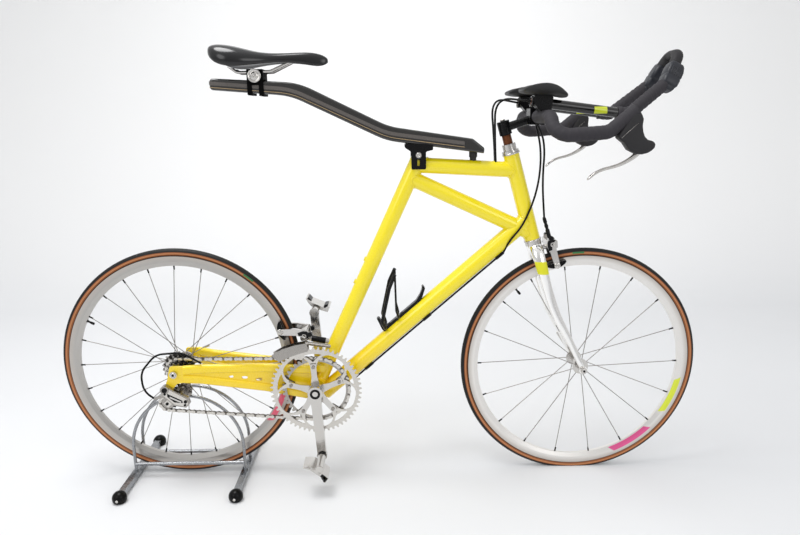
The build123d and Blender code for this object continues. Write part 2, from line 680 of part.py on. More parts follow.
SPROCKETS = [
    # teeth, place counted from the chain's own sprocket toward the wheel
    (21, 3), (19, 2), (17, 1), (SPROCKET_T, 0), (13, -1), (12, -2), (11, -3),
]
SPROCKET_STEP = 4.8
SPROCKET_HALF_T = 0.9
CASSETTE_CORE_R = 15.0
cassette_end = 3 * SPROCKET_STEP + 1.5
cassette = drum(*hub, CASSETTE_CORE_R, CHAIN_Y - cassette_end, CHAIN_Y + cassette_end)
for teeth, place in SPROCKETS:
    y = CHAIN_Y + place * SPROCKET_STEP
    r = teeth * PITCH / (2 * pi) + (1.0 if place else -LINK_HALF_H - 0.2)
    cassette = cassette + drum(*hub, r, y - SPROCKET_HALF_T, y + SPROCKET_HALF_T)
nodes["cassette"] = cassette - rear_axle_core

# Rear derailleur
CAGE_HALF = 4.6
CAGE_T = 1.6
dx = UPPER_PULLEY[0] - LOWER_PULLEY[0]
dz = UPPER_PULLEY[1] - LOWER_PULLEY[1]
CAGE_SHAPE = [(-11, 1), (2, -12), (dx + 11, dz + 1), (dx + 4, dz + 13), (dx - 10, dz + 9)]
rear_mech = None
for y in (CHAIN_Y + CAGE_HALF, CHAIN_Y - CAGE_HALF - CAGE_T):
    side_plate = plate(CAGE_SHAPE, y, y + CAGE_T, 4.0, LOWER_PULLEY)
    rear_mech = side_plate if rear_mech is None else rear_mech + side_plate
for pulley in (UPPER_PULLEY, LOWER_PULLEY):
    rear_mech = rear_mech + drum(*pulley, 3.5, CHAIN_Y - CAGE_HALF - CAGE_T - 1, CHAIN_Y + CAGE_HALF)
    rear_mech = rear_mech + drum(*pulley, pulley_r - LINK_HALF_H - 0.2, CHAIN_Y - 1.6, CHAIN_Y + 1.6)
KNUCKLE_R = 11.0
MECH_OUT = -DROP_OUT - 15.0
rear_mech = rear_mech + drum(*hanger, KNUCKLE_R, MECH_OUT, -DROP_OUT) + hanger_bolt
rear_mech = rear_mech + drum(*UPPER_PULLEY, 9.0, MECH_OUT + 4, CHAIN_Y - CAGE_HALF)
BODY_SHAPE = [(-10, 1), (4, 9), (56, -22), (60, -38), (50, -48), (20, -42), (-8, -14)]
rear_mech = rear_mech + plate(BODY_SHAPE, MECH_OUT + 2, -DROP_OUT - 1, 4.0, hanger)
BARREL_SHAPE = [(-30, -22), (-30, -28), (6, -18), (4, -8)]
rear_mech = rear_mech + plate(BARREL_SHAPE, MECH_OUT + 5, MECH_OUT + 12, 2.0, hanger)
nodes["rear_derailleur"] = rear_mech - dropout_right

# Front derailleur: a curved cage over the rings, carried by an arm from the seat tube
FD_ROWS = [
    # turn round the crank axle, inner and outer edge past the ring's pitch circle
    (98.0, -4.0, 18.0),
    (112.0, -4.0, 21.0),
    (125.0, 0.0, 27.0),
    (138.0, 8.0, 34.0),
]
FD_T = 1.2
FD_OUT_Y = RING_OUTER_Y - RING_T / 2 - MOVING_GAP - 0.05
FD_IN_Y = CHAIN_Y + 6.5


def off_ring(turn, past):
    r = outer_pitch_r + past
    return (r * cos(radians(turn)), r * sin(radians(turn)))


outline = [off_ring(turn, high) for turn, low, high in FD_ROWS]
outline = outline + [off_ring(turn, low) for turn, low, high in reversed(FD_ROWS)]
front_mech = plate(outline, FD_OUT_Y - FD_T, FD_OUT_Y, 3.0, bb)
front_mech = front_mech + plate(outline, FD_IN_Y, FD_IN_Y + FD_T, 3.0, bb)
FD_BACK = 13.0
dx, dz = off_ring(128, FD_BACK)
front_mech = front_mech + drum(BB_X + dx, BB_Z + dz, 3.0, FD_OUT_Y - FD_T, FD_IN_Y + FD_T)
FD_ARM_T = 112.0
dx, dz = off_ring(102, FD_BACK)
front_mech = front_mech + rod((BB_X + dx, FD_IN_Y, BB_Z + dz), seat(FD_ARM_T, 4.0, -10.0), 5.0)
nodes["front_derailleur"] = front_mech - seat_solid - stay_right

# Rim brakes: pads beside the rim, arms round the tyre


def caliper(hub_x, hub_z, turn, arm, pad_along):
    """A caliper set at an angle round the wheel; its outlines are given outward of and along the tyre."""
    a = radians(turn)

    def place(points):
        out = []
        for up, along in points:
            r = TYRE_R + up
            out.append((r * cos(a) - along * sin(a), r * sin(a) + along * cos(a)))
        return out

    centre = (hub_x, hub_z)
    pad_y0 = RIM_HALF_W + MOVING_GAP + 0.1
    pad = [
        (-PAD_DROP + PAD_HALF_H, pad_along - PAD_HALF_L),
        (-PAD_DROP + PAD_HALF_H, pad_along + PAD_HALF_L),
        (-PAD_DROP - 1, pad_along + PAD_HALF_L - 2),
        (-PAD_DROP - PAD_HALF_H - 3, pad_along + 9),
        (-PAD_DROP - PAD_HALF_H - 3, pad_along - 9),
        (-PAD_DROP - 1, pad_along - PAD_HALF_L + 2),
    ]
    body = plate(place([(14, -11), (34, -14), (38, 12), (16, 13)]), -PAD_Y1, PAD_Y1, 4.0, centre)
    for side in (-1, 1):
        body = body + plate(place(arm), side * ARM_Y0, side * PAD_Y1, 4.0, centre)
        body = body + plate(place(pad), side * pad_y0, side * (PAD_Y1 - 4), 1.5, centre)
    return body


FRONT_ARM = [(44, -8), (44, 8), (10, 10), (-PAD_DROP - 7, 6), (-PAD_DROP - 7, -7), (10, -7)]
front_caliper = caliper(FRONT_HUB_X, FRONT_HUB_Z, 105.0, FRONT_ARM, 0.0)
REAR_ARM = [(36, -10), (38, 10), (8, 24), (-PAD_DROP - 7, 34), (-PAD_DROP - 7, 18), (6, 6)]
REAR_BRAKE_TURN = 14.0
rear_caliper = caliper(REAR_HUB_X, REAR_HUB_Z, REAR_BRAKE_TURN, REAR_ARM, 26.0)
REAR_BOSS_T = 122.0
BOSS_OUT = TYRE_R + 30.135
BOSS_ALONG = -16.037
turn = radians(REAR_BRAKE_TURN)
boss_x = REAR_HUB_X + BOSS_OUT * cos(turn) - BOSS_ALONG * sin(turn)
boss_end = (boss_x, 0, REAR_HUB_Z + BOSS_OUT * sin(turn) + BOSS_ALONG * cos(turn))
rear_caliper = rear_caliper + rod(boss_end, seat(REAR_BOSS_T), 7.0)
nodes["rear_brake"] = rear_caliper - seat_solid - nodes["front_derailleur"]

# Bottle cage on the down tube
down_run = sqrt((DOWN_FRONT[0] - DOWN_REAR[0]) ** 2 + (DOWN_FRONT[2] - DOWN_REAR[2]) ** 2)


def on_down(share, up, y=0.0):
    """A share of the way up the down tube, up from its axis at right angles."""
    ux = (DOWN_FRONT[0] - DOWN_REAR[0]) / down_run
    uz = (DOWN_FRONT[2] - DOWN_REAR[2]) / down_run
    x, _, z = between(DOWN_REAR, DOWN_FRONT, share)
    return (x - uz * up, y, z + ux * up)


CAGE_HALF_W = 8.0
CAGE_SPINE = [
    # share of the way up the down tube, up from its axis: a foot behind, a strip and a hook in front
    (0.335, 18.0), (0.505, 18.0), (0.530, 25.5), (0.556, 37.0), (0.558, 45.5), (0.551, 46.0), (0.5465, 41.0),
    (0.526, 33.5), (0.500, 27.5), (0.350, 27.5), (0.354, 57.0), (0.346, 59.0), (0.333, 28.0),
]
CAGE_APEX = (0.514, 120.0, 32.0)
CAGE_REAR_LEG = [(0.343, 24.0, 4.0), (0.352, 30.0, 26.0), (0.362, 50.0, 39.5), (0.466, 104.0, 41.0), CAGE_APEX]
CAGE_FRONT_LEG = [CAGE_APEX, (0.428, 48.0, 39.5), (0.415, 28.0, 24.0), (0.400, 24.0, 4.0)]
CAGE_LEGS = [
    # path, rod radius
    (CAGE_REAR_LEG, 4.4),
    (CAGE_FRONT_LEG, 2.6),
]
spine = [on_down(share, up) for share, up in CAGE_SPINE]
bottle_cage = plate([(x, z) for x, _, z in spine], -CAGE_HALF_W, CAGE_HALF_W)
for path, leg_r in CAGE_LEGS:
    leg = pipe([on_down(*point) for point in path], leg_r, 9.0)
    bottle_cage = bottle_cage + leg + mirrored(leg)
nodes["bottle_cage"] = bottle_cage - down_solid

# Display stand: ball feet, two bars across, two rails and two hoops beside the tyre
stand_x = REAR_HUB_X + STAND_SHIFT
hoop_z = REAR_HUB_Z - HOOP_BELOW_HUB - HOOP_R
bar_top = FOOT_BAR_Z + FOOT_BAR_HALF
bars = []
feet = []
for end in (-1, 1):
    x = stand_x + end * HOOP_R
    bar = block(x - FOOT_BAR_HALF, x + FOOT_BAR_HALF, -FOOT_Y, FOOT_Y, FOOT_BAR_Z - FOOT_BAR_HALF, bar_top)
    bars.append(bar)
    for side in (-1, 1):
        feet.append(Pos(x, side * FOOT_Y, FOOT_R) * Sphere(FOOT_R) - bar)
hoops = []
rails = []
for side in (-1, 1):
    y = side * HOOP_Y
    left = stand_x - HOOP_R
    right = stand_x + HOOP_R
    path = Wire(
        [
            Line((left, y, bar_top), (left, y, hoop_z)),
            ThreePointArc((left, y, hoop_z), (stand_x, y, hoop_z + HOOP_R), (right, y, hoop_z)),
            Line((right, y, hoop_z), (right, y, bar_top)),
        ]
    )
    hoop = sweep(Plane(origin=path @ 0, z_dir=path % 0) * Circle(HOOP_ROD_R), path=path)
    hoops.append(hoop)
    rails.append(rod((left, y, RAIL_Z), (right, y, RAIL_Z), STAND_RAIL_R) - hoop)
nodes["stand_feet"] = together(*feet)
nodes["stand_hoops"] = together(*hoops)
nodes["stand_base"] = together(*bars, *rails)

# Fork: steerer, crown and two raked blades in one piece
BLADE_ROWS = [
    # share of the way from hub level to crown, forward of the axis, y, half size along, half size across
    (0.980, 1.0, 9.0, 17.0, 13.0),
    (0.935, 1.0, 24.0, 16.5, 12.0),
    (0.865, 0.5, 32.0, 15.0, 11.0),
    (0.721, 0.5, 34.0, 13.0, 10.0),
    (0.528, 3.0, 38.0, 12.0, 9.0),
    (0.367, 11.0, 44.0, 10.5, 8.0),
    (0.202, 23.5, 49.0, 8.5, 7.0),
    (0.019, 35.0, 52.0, 6.5, 4.0),
]
FORK_END_R = 10.0
FORK_END_Y = (49.0, 56.0)
steerer_top = HEAD_TOP_S + 2 * UPPER_CUP_H
steerer = rod(head(CROWN_S - 8), head(steerer_top), STEERER_R)
above_crown = rod(head(CROWN_S), head(HEAD_LOW_S), 2 * CUP_R) - steerer
front_axle_core = drum(FRONT_HUB_X, FRONT_HUB_Z, FRONT_AXLE_R, -FORK_END_Y[1], FORK_END_Y[1])
front_nut, front_cap = quick_release(FRONT_HUB_X, FRONT_HUB_Z, QR_R - 1, FORK_END_Y[1], (-38, 60))
fork = steerer + rod(head(CROWN_S - 12), head(CROWN_S), CUP_R - 1)
for side in (-1, 1):
    rows = [(*head(f * CROWN_S, out, side * y), along, across) for f, out, y, along, across in BLADE_ROWS]
    fork = fork + tapered(rows)
    fork = fork + drum(FRONT_HUB_X, FRONT_HUB_Z, FORK_END_R, side * FORK_END_Y[0], side * FORK_END_Y[1])
fork = fork - above_crown - front_axle_core - front_nut - front_cap
nodes["fork"] = fork
nodes["front_axle"] = front_axle_core + front_nut + front_cap
nodes["front_brake"] = front_caliper + rod(head(CROWN_S - 14), head(CROWN_S - 16, 44), 6.0) - fork

# Lock nut, stem and bars
NUT_GAP = 0.6
NUT_H = 15.0
NUT_R = 16.5
QUILL_R = 10.5
nut_low = HEAD_TOP_S + UPPER_CUP_H + NUT_GAP
lock_nut = rod(head(nut_low), head(nut_low + NUT_H), NUT_R) - steerer
TOP = head(HEAD_TOP_S)
BAR_X = TOP[0] + BAR_FORWARD
BAR_Z = TOP[2] + BAR_RISE


def at_bar(x, y, z):
    """A point given from the middle of the base bar."""
    return (BAR_X + x, y, BAR_Z + z)


BASE_PATH = [(172.0, -HORN_Y, 13.0), (116.0, -HORN_Y, -33.0), (0.0, -HORN_Y, -41.0), (0.0, -150.0, 0.0)]
BASE_BEND = 36.0
base_points = [at_bar(*p) for p in BASE_PATH]
base_points = base_points + [(x, -y, z) for x, y, z in reversed(base_points)]
base_bar = pipe(base_points, BAR_R, BASE_BEND)
nodes["base_bar"] = base_bar
STEM_HEAD_S = (HEAD_TOP_S + 49.0, HEAD_TOP_S + 82.0)
stem = rod(head(steerer_top), head(STEM_HEAD_S[1] - 4), QUILL_R)
stem = stem + rod(head(STEM_HEAD_S[0]), head(STEM_HEAD_S[1]), 15.0)
stem = stem + rod(head(sum(STEM_HEAD_S) / 2), at_bar(0, 0, -2), 10.0)
stem = stem + block(BAR_X - 18, BAR_X + 18, -21, 21, BAR_Z - 19, BAR_Z + 19)
nodes["stem"] = stem - base_bar - steerer
nodes["headset_nut"] = lock_nut - stem

HOOD_HALF_W = 16.0
HOOD_SHAPE = [
    (131, -44), (160, 6), (178, 8), (184, -6), (183, -20), (188, -40), (196, -49), (211, -53), (212, -66),
    (198, -77), (174, -79), (158, -71), (147, -56),
]
LEVER_HALF_W = 6.0
LEVER_SHAPE = [
    (163, -66), (192, -70), (184, -86), (146, -107), (110, -116), (86, -128), (77, -136), (74, -130),
    (84, -119), (108, -106), (144, -96),
]
bar_at = (BAR_X, BAR_Z)
hoods = []
levers = []
for side in (-1, 1):
    hood = plate(HOOD_SHAPE, side * (HORN_Y - HOOD_HALF_W), side * (HORN_Y + HOOD_HALF_W), 3.0, bar_at)
    lever = plate(LEVER_SHAPE, side * (HORN_Y - LEVER_HALF_W), side * (HORN_Y + LEVER_HALF_W), 0.0, bar_at)
    hoods.append(hood - base_bar)
    levers.append(lever - hood - base_bar)
nodes["hoods"] = together(*hoods)
nodes["levers"] = together(*levers)

AERO_PATH = [(-28.0, -78.0, 34.0), (200.0, -66.0, 4.0), (288.0, -50.0, 74.0), (322.0, -26.0, 138.0)]
aero_points = [at_bar(*p) for p in AERO_PATH]
aero_points = aero_points + [(x, -y, z) for x, y, z in reversed(aero_points)]
aero_bar = pipe(aero_points, AERO_R, 20.0) - base_bar
nodes["aero_bar"] = aero_bar
PAD_Y = 90.0
PAD_HALF_W = 38.0
ARM_R = 40.0
ARM_RISE = 101.0
PAD_SHAPE = [
    (-58, 57), (-50, 66), (-32, 75), (-8, 79), (16, 73), (34, 59), (46, 43), (38, 40), (18, 45), (-10, 48),
    (-42, 49),
]
POD_ROWS = [
    # forward, out, up, half size in the X-Z plane, half size across
    (286.0, 50.0, 60.0, 15.0, 15.0),
    (293.0, 47.0, 71.0, 19.0, 18.0),
    (308.0, 38.0, 100.0, 20.0, 18.0),
    (314.0, 34.0, 114.0, 16.0, 15.0),
]
POD_CORNER = 6.0
MOUNT_SHAPE = [(-24, 28), (-28, 40), (-22, 50), (10, 50), (18, 42), (14, 12), (-10, 12)]
pads = []
mounts = []
pods = []
for side in (-1, 1):
    y = side * PAD_Y
    groove = rod(at_bar(-100, y, ARM_RISE), at_bar(100, y, ARM_RISE), ARM_R)
    pad = plate(PAD_SHAPE, y - PAD_HALF_W, y + PAD_HALF_W, 0.0, bar_at) - groove
    pads.append(pad)
    mounts.append(plate(MOUNT_SHAPE, side * 62, side * 94, 3.0, bar_at) - aero_bar - base_bar - pad)
    pod = [(*at_bar(x, side * out, z), along, across) for x, out, z, along, across in POD_ROWS]
    pods.append(tapered(pod, POD_CORNER) - aero_bar)
nodes["arm_pads"] = together(*pads)
nodes["pad_mounts"] = together(*mounts)
nodes["shifter_pods"] = together(*pods)

# Cable housings
CLIP_SHARES = (0.84, 0.49, 0.2)
CLIP_HALF = 0.018
LINE_Y = -6.0
under = -DOWN_R - CABLE_R
LOOP_PATH = [
    (66.0, -58.0, 22.0), (20.0, -64.0, 54.0), (-44.0, -66.0, 50.0), (-84.0, -68.0, 4.0), (-80.0, -73.0, -46.0),
    (-52.0, -77.5, -63.0),
]
LOOP_BEND = 44.0
LINE_BEND = 36.0
loop_rear = pipe([(REAR_HUB_X + x, y, REAR_HUB_Z + z) for x, y, z in LOOP_PATH], CABLE_R, LOOP_BEND)
run_down = rod(on_down(CLIP_SHARES[0], under, LINE_Y), on_down(0.12, under, LINE_Y), CABLE_R)
for share in CLIP_SHARES:
    run_down = run_down + rod(
        on_down(share - CLIP_HALF, under + 1, LINE_Y), on_down(share + CLIP_HALF, under + 1, LINE_Y), 5.0
    )
run_down = run_down - down_solid - bb_solid
nodes["frame_cables"] = together(loop_rear - stay_right - nodes["rear_derailleur"] - dropout_right, run_down)
adjuster = head(CROWN_S + 60, 37, -22)
boot_end = head(CROWN_S + 8, 38, -24)
BRAKE_PATH = [at_bar(-6, -34, -10), at_bar(20, -28, -60), head(CROWN_S + 150, 54, -20), adjuster]
brake_line = pipe(BRAKE_PATH, CABLE_R, LINE_BEND) + rod(adjuster, boot_end, 4.5)
nodes["brake_cable_front"] = brake_line - base_bar - nodes["stem"] - nodes["front_brake"]
STOP_F = 0.8
stop_top = between(TOP_REAR, TOP_FRONT, STOP_F)
aero_x, aero_y, aero_z = AERO_PATH[0]
lines = []
for side in (-1, 1):
    shift_path = [
        at_bar(aero_x + 1, side * -aero_y, aero_z),
        at_bar(-104, side * 30, 46),
        at_bar(-98, side * 9, -50),
        (stop_top[0], side * 7, stop_top[2] + TOP_R - 3),
    ]
    lines.append(pipe(shift_path, CABLE_R, LINE_BEND) - aero_bar - top_solid)
down_path = [
    at_bar(8, 34, -12),
    at_bar(22, 14, -84),
    head(HEAD_TOP_S - 100, 40, -16),
    head(HEAD_LOW_S + 46, -16, -27.5),
    on_down(0.90, -6, -DOWN_R - CABLE_R - 2),
    on_down(CLIP_SHARES[0] + CLIP_HALF, under, LINE_Y),
]
lines.append(pipe(down_path, CABLE_R, LINE_BEND) - base_bar - down_solid - run_down)
nodes["steer_cables"] = together(*lines)

for name, shape in nodes.items():
    export_step(shape, "parts/" + name + ".step")
print(len(nodes), "nodes")
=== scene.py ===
import bmesh
import bpy
import json
import math
from mathutils import Matrix, Vector


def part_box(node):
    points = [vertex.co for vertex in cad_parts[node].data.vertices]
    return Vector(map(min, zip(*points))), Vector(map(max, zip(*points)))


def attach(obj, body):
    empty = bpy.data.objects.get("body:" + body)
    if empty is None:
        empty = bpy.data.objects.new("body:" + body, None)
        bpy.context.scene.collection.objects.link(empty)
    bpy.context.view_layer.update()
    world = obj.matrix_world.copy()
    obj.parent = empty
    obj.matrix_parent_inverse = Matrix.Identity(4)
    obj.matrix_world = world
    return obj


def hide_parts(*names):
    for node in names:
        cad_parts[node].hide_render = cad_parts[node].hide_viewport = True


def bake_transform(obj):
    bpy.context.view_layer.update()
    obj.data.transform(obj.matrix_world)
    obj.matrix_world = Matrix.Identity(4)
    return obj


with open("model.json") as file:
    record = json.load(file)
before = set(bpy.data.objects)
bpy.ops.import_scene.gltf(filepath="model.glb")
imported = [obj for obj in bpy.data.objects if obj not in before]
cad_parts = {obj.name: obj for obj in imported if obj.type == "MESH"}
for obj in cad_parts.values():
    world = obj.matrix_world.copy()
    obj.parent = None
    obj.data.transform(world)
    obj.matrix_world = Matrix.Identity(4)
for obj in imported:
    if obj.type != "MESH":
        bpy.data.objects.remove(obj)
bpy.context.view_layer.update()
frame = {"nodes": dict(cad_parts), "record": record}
MM = 0.001
TURN = 2 * math.pi
RIGHT, LEFT = -1, 1
SIDES = (RIGHT, LEFT)
X_OUT = Vector((1, 0, 0))
Y_OUT = Vector((0, 1, 0))


# Anchors, read from the frame
def middle(node):
    low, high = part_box(node)
    return (low + high) / 2


FRONT_HUB = middle("front_tyre")
REAR_HUB = middle("rear_tyre")
CRANK = middle("bottom_bracket_shell")
TYRE_R = (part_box("front_tyre")[1].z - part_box("front_tyre")[0].z) / 2
RIM_OUTER_R = TYRE_R - 0.018
RIM_INNER_R = RIM_OUTER_R - 0.026
STEM_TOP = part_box("stem")[1]
BAR = Vector((STEM_TOP.x - 0.018, 0.0, STEM_TOP.z - 0.019))
BEAM_BOLT_RISE = Vector((0, 0, 0.012))
CLUSTER = middle("beam_bolt") - BEAM_BOLT_RISE
RAKE = 0.035
HEAD_LEAN = math.radians(74)
HEAD_UP = Vector((-math.cos(HEAD_LEAN), 0, math.sin(HEAD_LEAN)))
HEAD_OUT = Vector((math.sin(HEAD_LEAN), 0, math.cos(HEAD_LEAN)))
HUB_LEVEL = FRONT_HUB - RAKE * HEAD_OUT
CROWN_S = TYRE_R + 0.034
HEAD_LOW_S = CROWN_S + 0.0145
HEAD_TOP_S = HEAD_LOW_S + 0.2175
CHAIN_Y = -0.042
PITCH = 0.0127


def head(s, out=0.0, y=0.0):
    """A point s up the steering axis from hub level and out ahead of it, in metres."""
    return HUB_LEVEL + HEAD_UP * s + HEAD_OUT * out + Y_OUT * y


TUBE_R = 0.019
SEAT_R = 0.0195
DOWN_R = 0.0215
SHELL_R = 0.022
SEAT_LEAN = math.radians(24.57)
SEAT_UP = Vector((math.sin(SEAT_LEAN), 0, math.cos(SEAT_LEAN)))
TOP_REAR = CLUSTER - SEAT_UP * 0.014
TOP_FRONT = head(HEAD_TOP_S - 0.039)
DIAG_REAR = CLUSTER - SEAT_UP * 0.048
DIAG_FRONT = head(HEAD_LOW_S + 0.015)
DOWN_REAR = CRANK + Vector((0.016, 0, -0.0255))
DOWN_FRONT = head(HEAD_LOW_S + 0.051)


def at_bar(x, y, z):
    """A point in millimetres from the middle of the base bar."""
    return BAR + Vector((x, y, z)) * MM


def at_cluster(x, y, z):
    """A point in millimetres from the top of the seat tube."""
    return CLUSTER + Vector((x, y, z)) * MM


def spoke_way(angle):
    """The direction at an angle round a wheel."""
    return Vector((math.cos(angle), 0, math.sin(angle)))


def flat(points):
    """The side view of points, as X and Z."""
    return [(p.x, p.z) for p in points]


def around(centre, rows):
    """A side view outline given in millimetres from a centre."""
    return [(centre.x + x * MM, centre.z + z * MM) for x, z in rows]


# Mesh helpers
def mesh_piece(name, verts, faces, material, body, smooth=True):
    mesh = bpy.data.meshes.new(name)
    mesh.from_pydata([tuple(v) for v in verts], [], faces)
    clean = bmesh.new()
    clean.from_mesh(mesh)
    bmesh.ops.recalc_face_normals(clean, faces=clean.faces)
    clean.to_mesh(mesh)
    clean.free()
    mesh.materials.append(material)
    for polygon in mesh.polygons:
        polygon.use_smooth = smooth
    piece = bpy.data.objects.new(name, mesh)
    bpy.context.scene.collection.objects.link(piece)
    if body:
        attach(piece, body)
    return piece


def circle(centre, side, other, sides, radius_at):
    """A ring of points; radius_at takes the angle."""
    ring = []
    for k in range(sides):
        a = TURN * k / sides
        ring.append(centre + (side * math.cos(a) + other * math.sin(a)) * radius_at(a))
    return ring


class Build:
    """Gathers many small solids into one mesh."""

    def __init__(self):
        self.verts = []
        self.faces = []

    def ring_stack(self, rings):
        """A skin over rings of points, with flat ends."""
        start = len(self.verts)
        count = len(rings[0])
        for ring in rings:
            self.verts.extend(ring)
        for i in range(len(rings) - 1):
            a = start + i * count
            for k in range(count):
                n = (k + 1) % count
                self.faces.append((a + k, a + n, a + count + n, a + count + k))
        self.faces.append(tuple(range(start + count - 1, start - 1, -1)))
        last = start + (len(rings) - 1) * count
        self.faces.append(tuple(range(last, last + count)))
        return self

    def lathe(self, origin, axis, profile, sides=16):
        """Rings of (distance along the axis, radius)."""
        axis = axis.normalized()
        side = axis.orthogonal().normalized()
        other = axis.cross(side)
        rings = []
        for along, r in profile:
            rings.append(circle(origin + axis * along, side, other, sides, lambda a: r))
        return self.ring_stack(rings)

    def rod(self, a, b, r, sides=12, bevel=0.0):
        length = (b - a).length
        edge = min(bevel, r * 0.6, length * 0.45)
        profile = [(0, r), (length, r)]
        if edge > 0:
            profile = [(0, r - edge), (edge * 0.3, r - edge * 0.3), (edge, r)]
            profile += [(length - edge, r), (length - edge * 0.3, r - edge * 0.3), (length, r - edge)]
        return self.lathe(a, b - a, profile, sides)

    def bolt(self, seat_point, axis, r, height):
        """A socket-head screw standing on a face."""
        cup = 0.55 * r
        profile = [(0, r), (height * 0.8, r), (height, r * 0.86)]
        profile += [(height, cup), (height * 0.45, cup), (height * 0.4, 0.0002)]
        self.lathe(seat_point, axis, profile, 20)

    def plate(self, points, y0, y1):
        """A flat outline in X and Z between two Y levels."""
        self.ring_stack([[Vector((x, y, z)) for x, z in points] for y in (y0, y1)])

    def cut(self, loops, y0, y1, edge=0.0002):
        """A plate with eased edges whose later loops are holes; loops are (x, z) points."""
        curve = bpy.data.curves.new("outline", "CURVE")
        curve.dimensions = "2D"
        curve.fill_mode = "BOTH"
        curve.extrude = abs(y1 - y0) / 2 - edge
        curve.bevel_depth = edge
        curve.bevel_resolution = 1
        for loop in loops:
            spline = curve.splines.new("POLY")
            spline.points.add(len(loop) - 1)
            spline.use_cyclic_u = True
            for point, (x, z) in zip(spline.points, loop):
                point.co = (x, z, 0.0, 1.0)
        holder = bpy.data.objects.new("outline", curve)
        bpy.context.scene.collection.objects.link(holder)
        solid = bpy.data.meshes.new_from_object(holder.evaluated_get(bpy.context.evaluated_depsgraph_get()))
        start = len(self.verts)
        self.verts.extend(Vector((v.co.x, (y0 + y1) / 2 + v.co.z, v.co.y)) for v in solid.vertices)
        self.faces.extend(tuple(start + i for i in p.vertices) for p in solid.polygons)
        bpy.data.objects.remove(holder)
        bpy.data.curves.remove(curve)
        bpy.data.meshes.remove(solid)
        return self

    def piece(self, name, finish, body, slot, replaces=None, smooth=True):
        """The gathered mesh as a named piece on a body, with its finish; slot is not used."""
        made = mesh_piece(name, self.verts, self.faces, MATERIALS[finish], body, smooth)
        if replaces:
            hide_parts(replaces)
        return made


def bevelled(piece, width, segments=3, angle=35):
    edge = piece.modifiers.new("edge", "BEVEL")
    edge.width = width
    edge.segments = segments
    edge.limit_method = "ANGLE"
    edge.angle_limit = math.radians(angle)
    edge.harden_normals = False


def subdivided(piece):
    soft = piece.modifiers.new("soft", "SUBSURF")
    soft.levels = 2
    soft.render_levels = 2


ARC_STEPS = 12


def rounded_path(points, radius, step):
    """Straight runs joined by tangent arcs, as evenly spaced points."""
    dense = [points[0]]
    for a, b, c in zip(points, points[1:], points[2:]):
        into = (a - b).normalized()
        away = (c - b).normalized()
        turn = math.pi - into.angle(away)
        cut = radius * math.tan(turn / 2)
        centre = b + (into + away).normalized() * (radius / math.cos(turn / 2))
        first = b + into * cut - centre
        normal = first.cross(b + away * cut - centre)
        for i in range(ARC_STEPS + 1):
            dense.append(centre + Matrix.Rotation(turn * i / ARC_STEPS, 3, normal) @ first)
    dense.append(points[-1])
    out = [dense[0]]
    carry = 0.0
    for a, b in zip(dense, dense[1:]):
        length = (b - a).length
        at = step - carry
        while at < length:
            out.append(a.lerp(b, at / length))
            at += step
        carry = length - (at - step)
    out.append(dense[-1])
    return out


EASE_PASSES = 5
EASE_STEP = 0.004


def eased_path(points):
    """A smooth line led by its points, as evenly spaced points."""
    line = points
    for _ in range(EASE_PASSES):
        cut = [line[0]]
        for a, b in zip(line, line[1:]):
            cut.append(a.lerp(b, 0.25))
            cut.append(a.lerp(b, 0.75))
        cut.append(line[-1])
        line = cut
    out = [line[0]]
    for p in line[1:-1]:
        if (p - out[-1]).length > EASE_STEP:
            out.append(p)
    out.append(line[-1])
    return out


def tube_rings(path, radius_at, sides):
    """Rings along a path without twist; radius_at takes the distance and the angle."""
    rings = []
    travelled = 0.0
    side = (path[1] - path[0]).normalized().orthogonal().normalized()
    for i, point in enumerate(path):
        ahead = path[min(i + 1, len(path) - 1)]
        behind = path[max(i - 1, 0)]
        tangent = (ahead - behind).normalized()
        side = (side - tangent * side.dot(tangent)).normalized()
        if i:
            travelled += (point - path[i - 1]).length
        rings.append(circle(point, side, tangent.cross(side), sides, lambda a: radius_at(travelled, a)))
    return rings


# Materials
def linear(r, g, b):
    out = []
    for c in (r, g, b):
        c = c / 255
        out.append(c / 12.92 if c <= 0.04045 else ((c + 0.055) / 1.055) ** 2.4)
    return (*out, 1.0)


COAT_ROUGHNESS = 0.06
ROUGHNESS_SPREAD = 0.25


class Nodes:
    """Adds and joins the nodes of one tree."""

    def __init__(self, tree):
        self.tree = tree

    def node(self, kind, **values):
        made = self.tree.nodes.new(kind)
        for key, value in values.items():
            made.inputs[key].default_value = value
        return made

    def join(self, out, into):
        self.tree.links.new(out, into)

    def math(self, operation, *terms):
        made = self.tree.nodes.new("ShaderNodeMath")
        made.operation = operation
        for socket, value in zip(made.inputs, terms):
            if isinstance(value, (int, float)):
                socket.default_value = value
            else:
                self.join(value, socket)
        return made.outputs[0]

    def both(self, a, b):
        return self.math("MULTIPLY", a, b)

    def ranged(self, value, a, b, low, high):
        made = self.node("ShaderNodeMapRange")
        for key, v in (("From Min", a), ("From Max", b), ("To Min", low), ("To Max", high)):
            made.inputs[key].default_value = v
        self.join(value, made.inputs["Value"])
        return made.outputs["Result"]


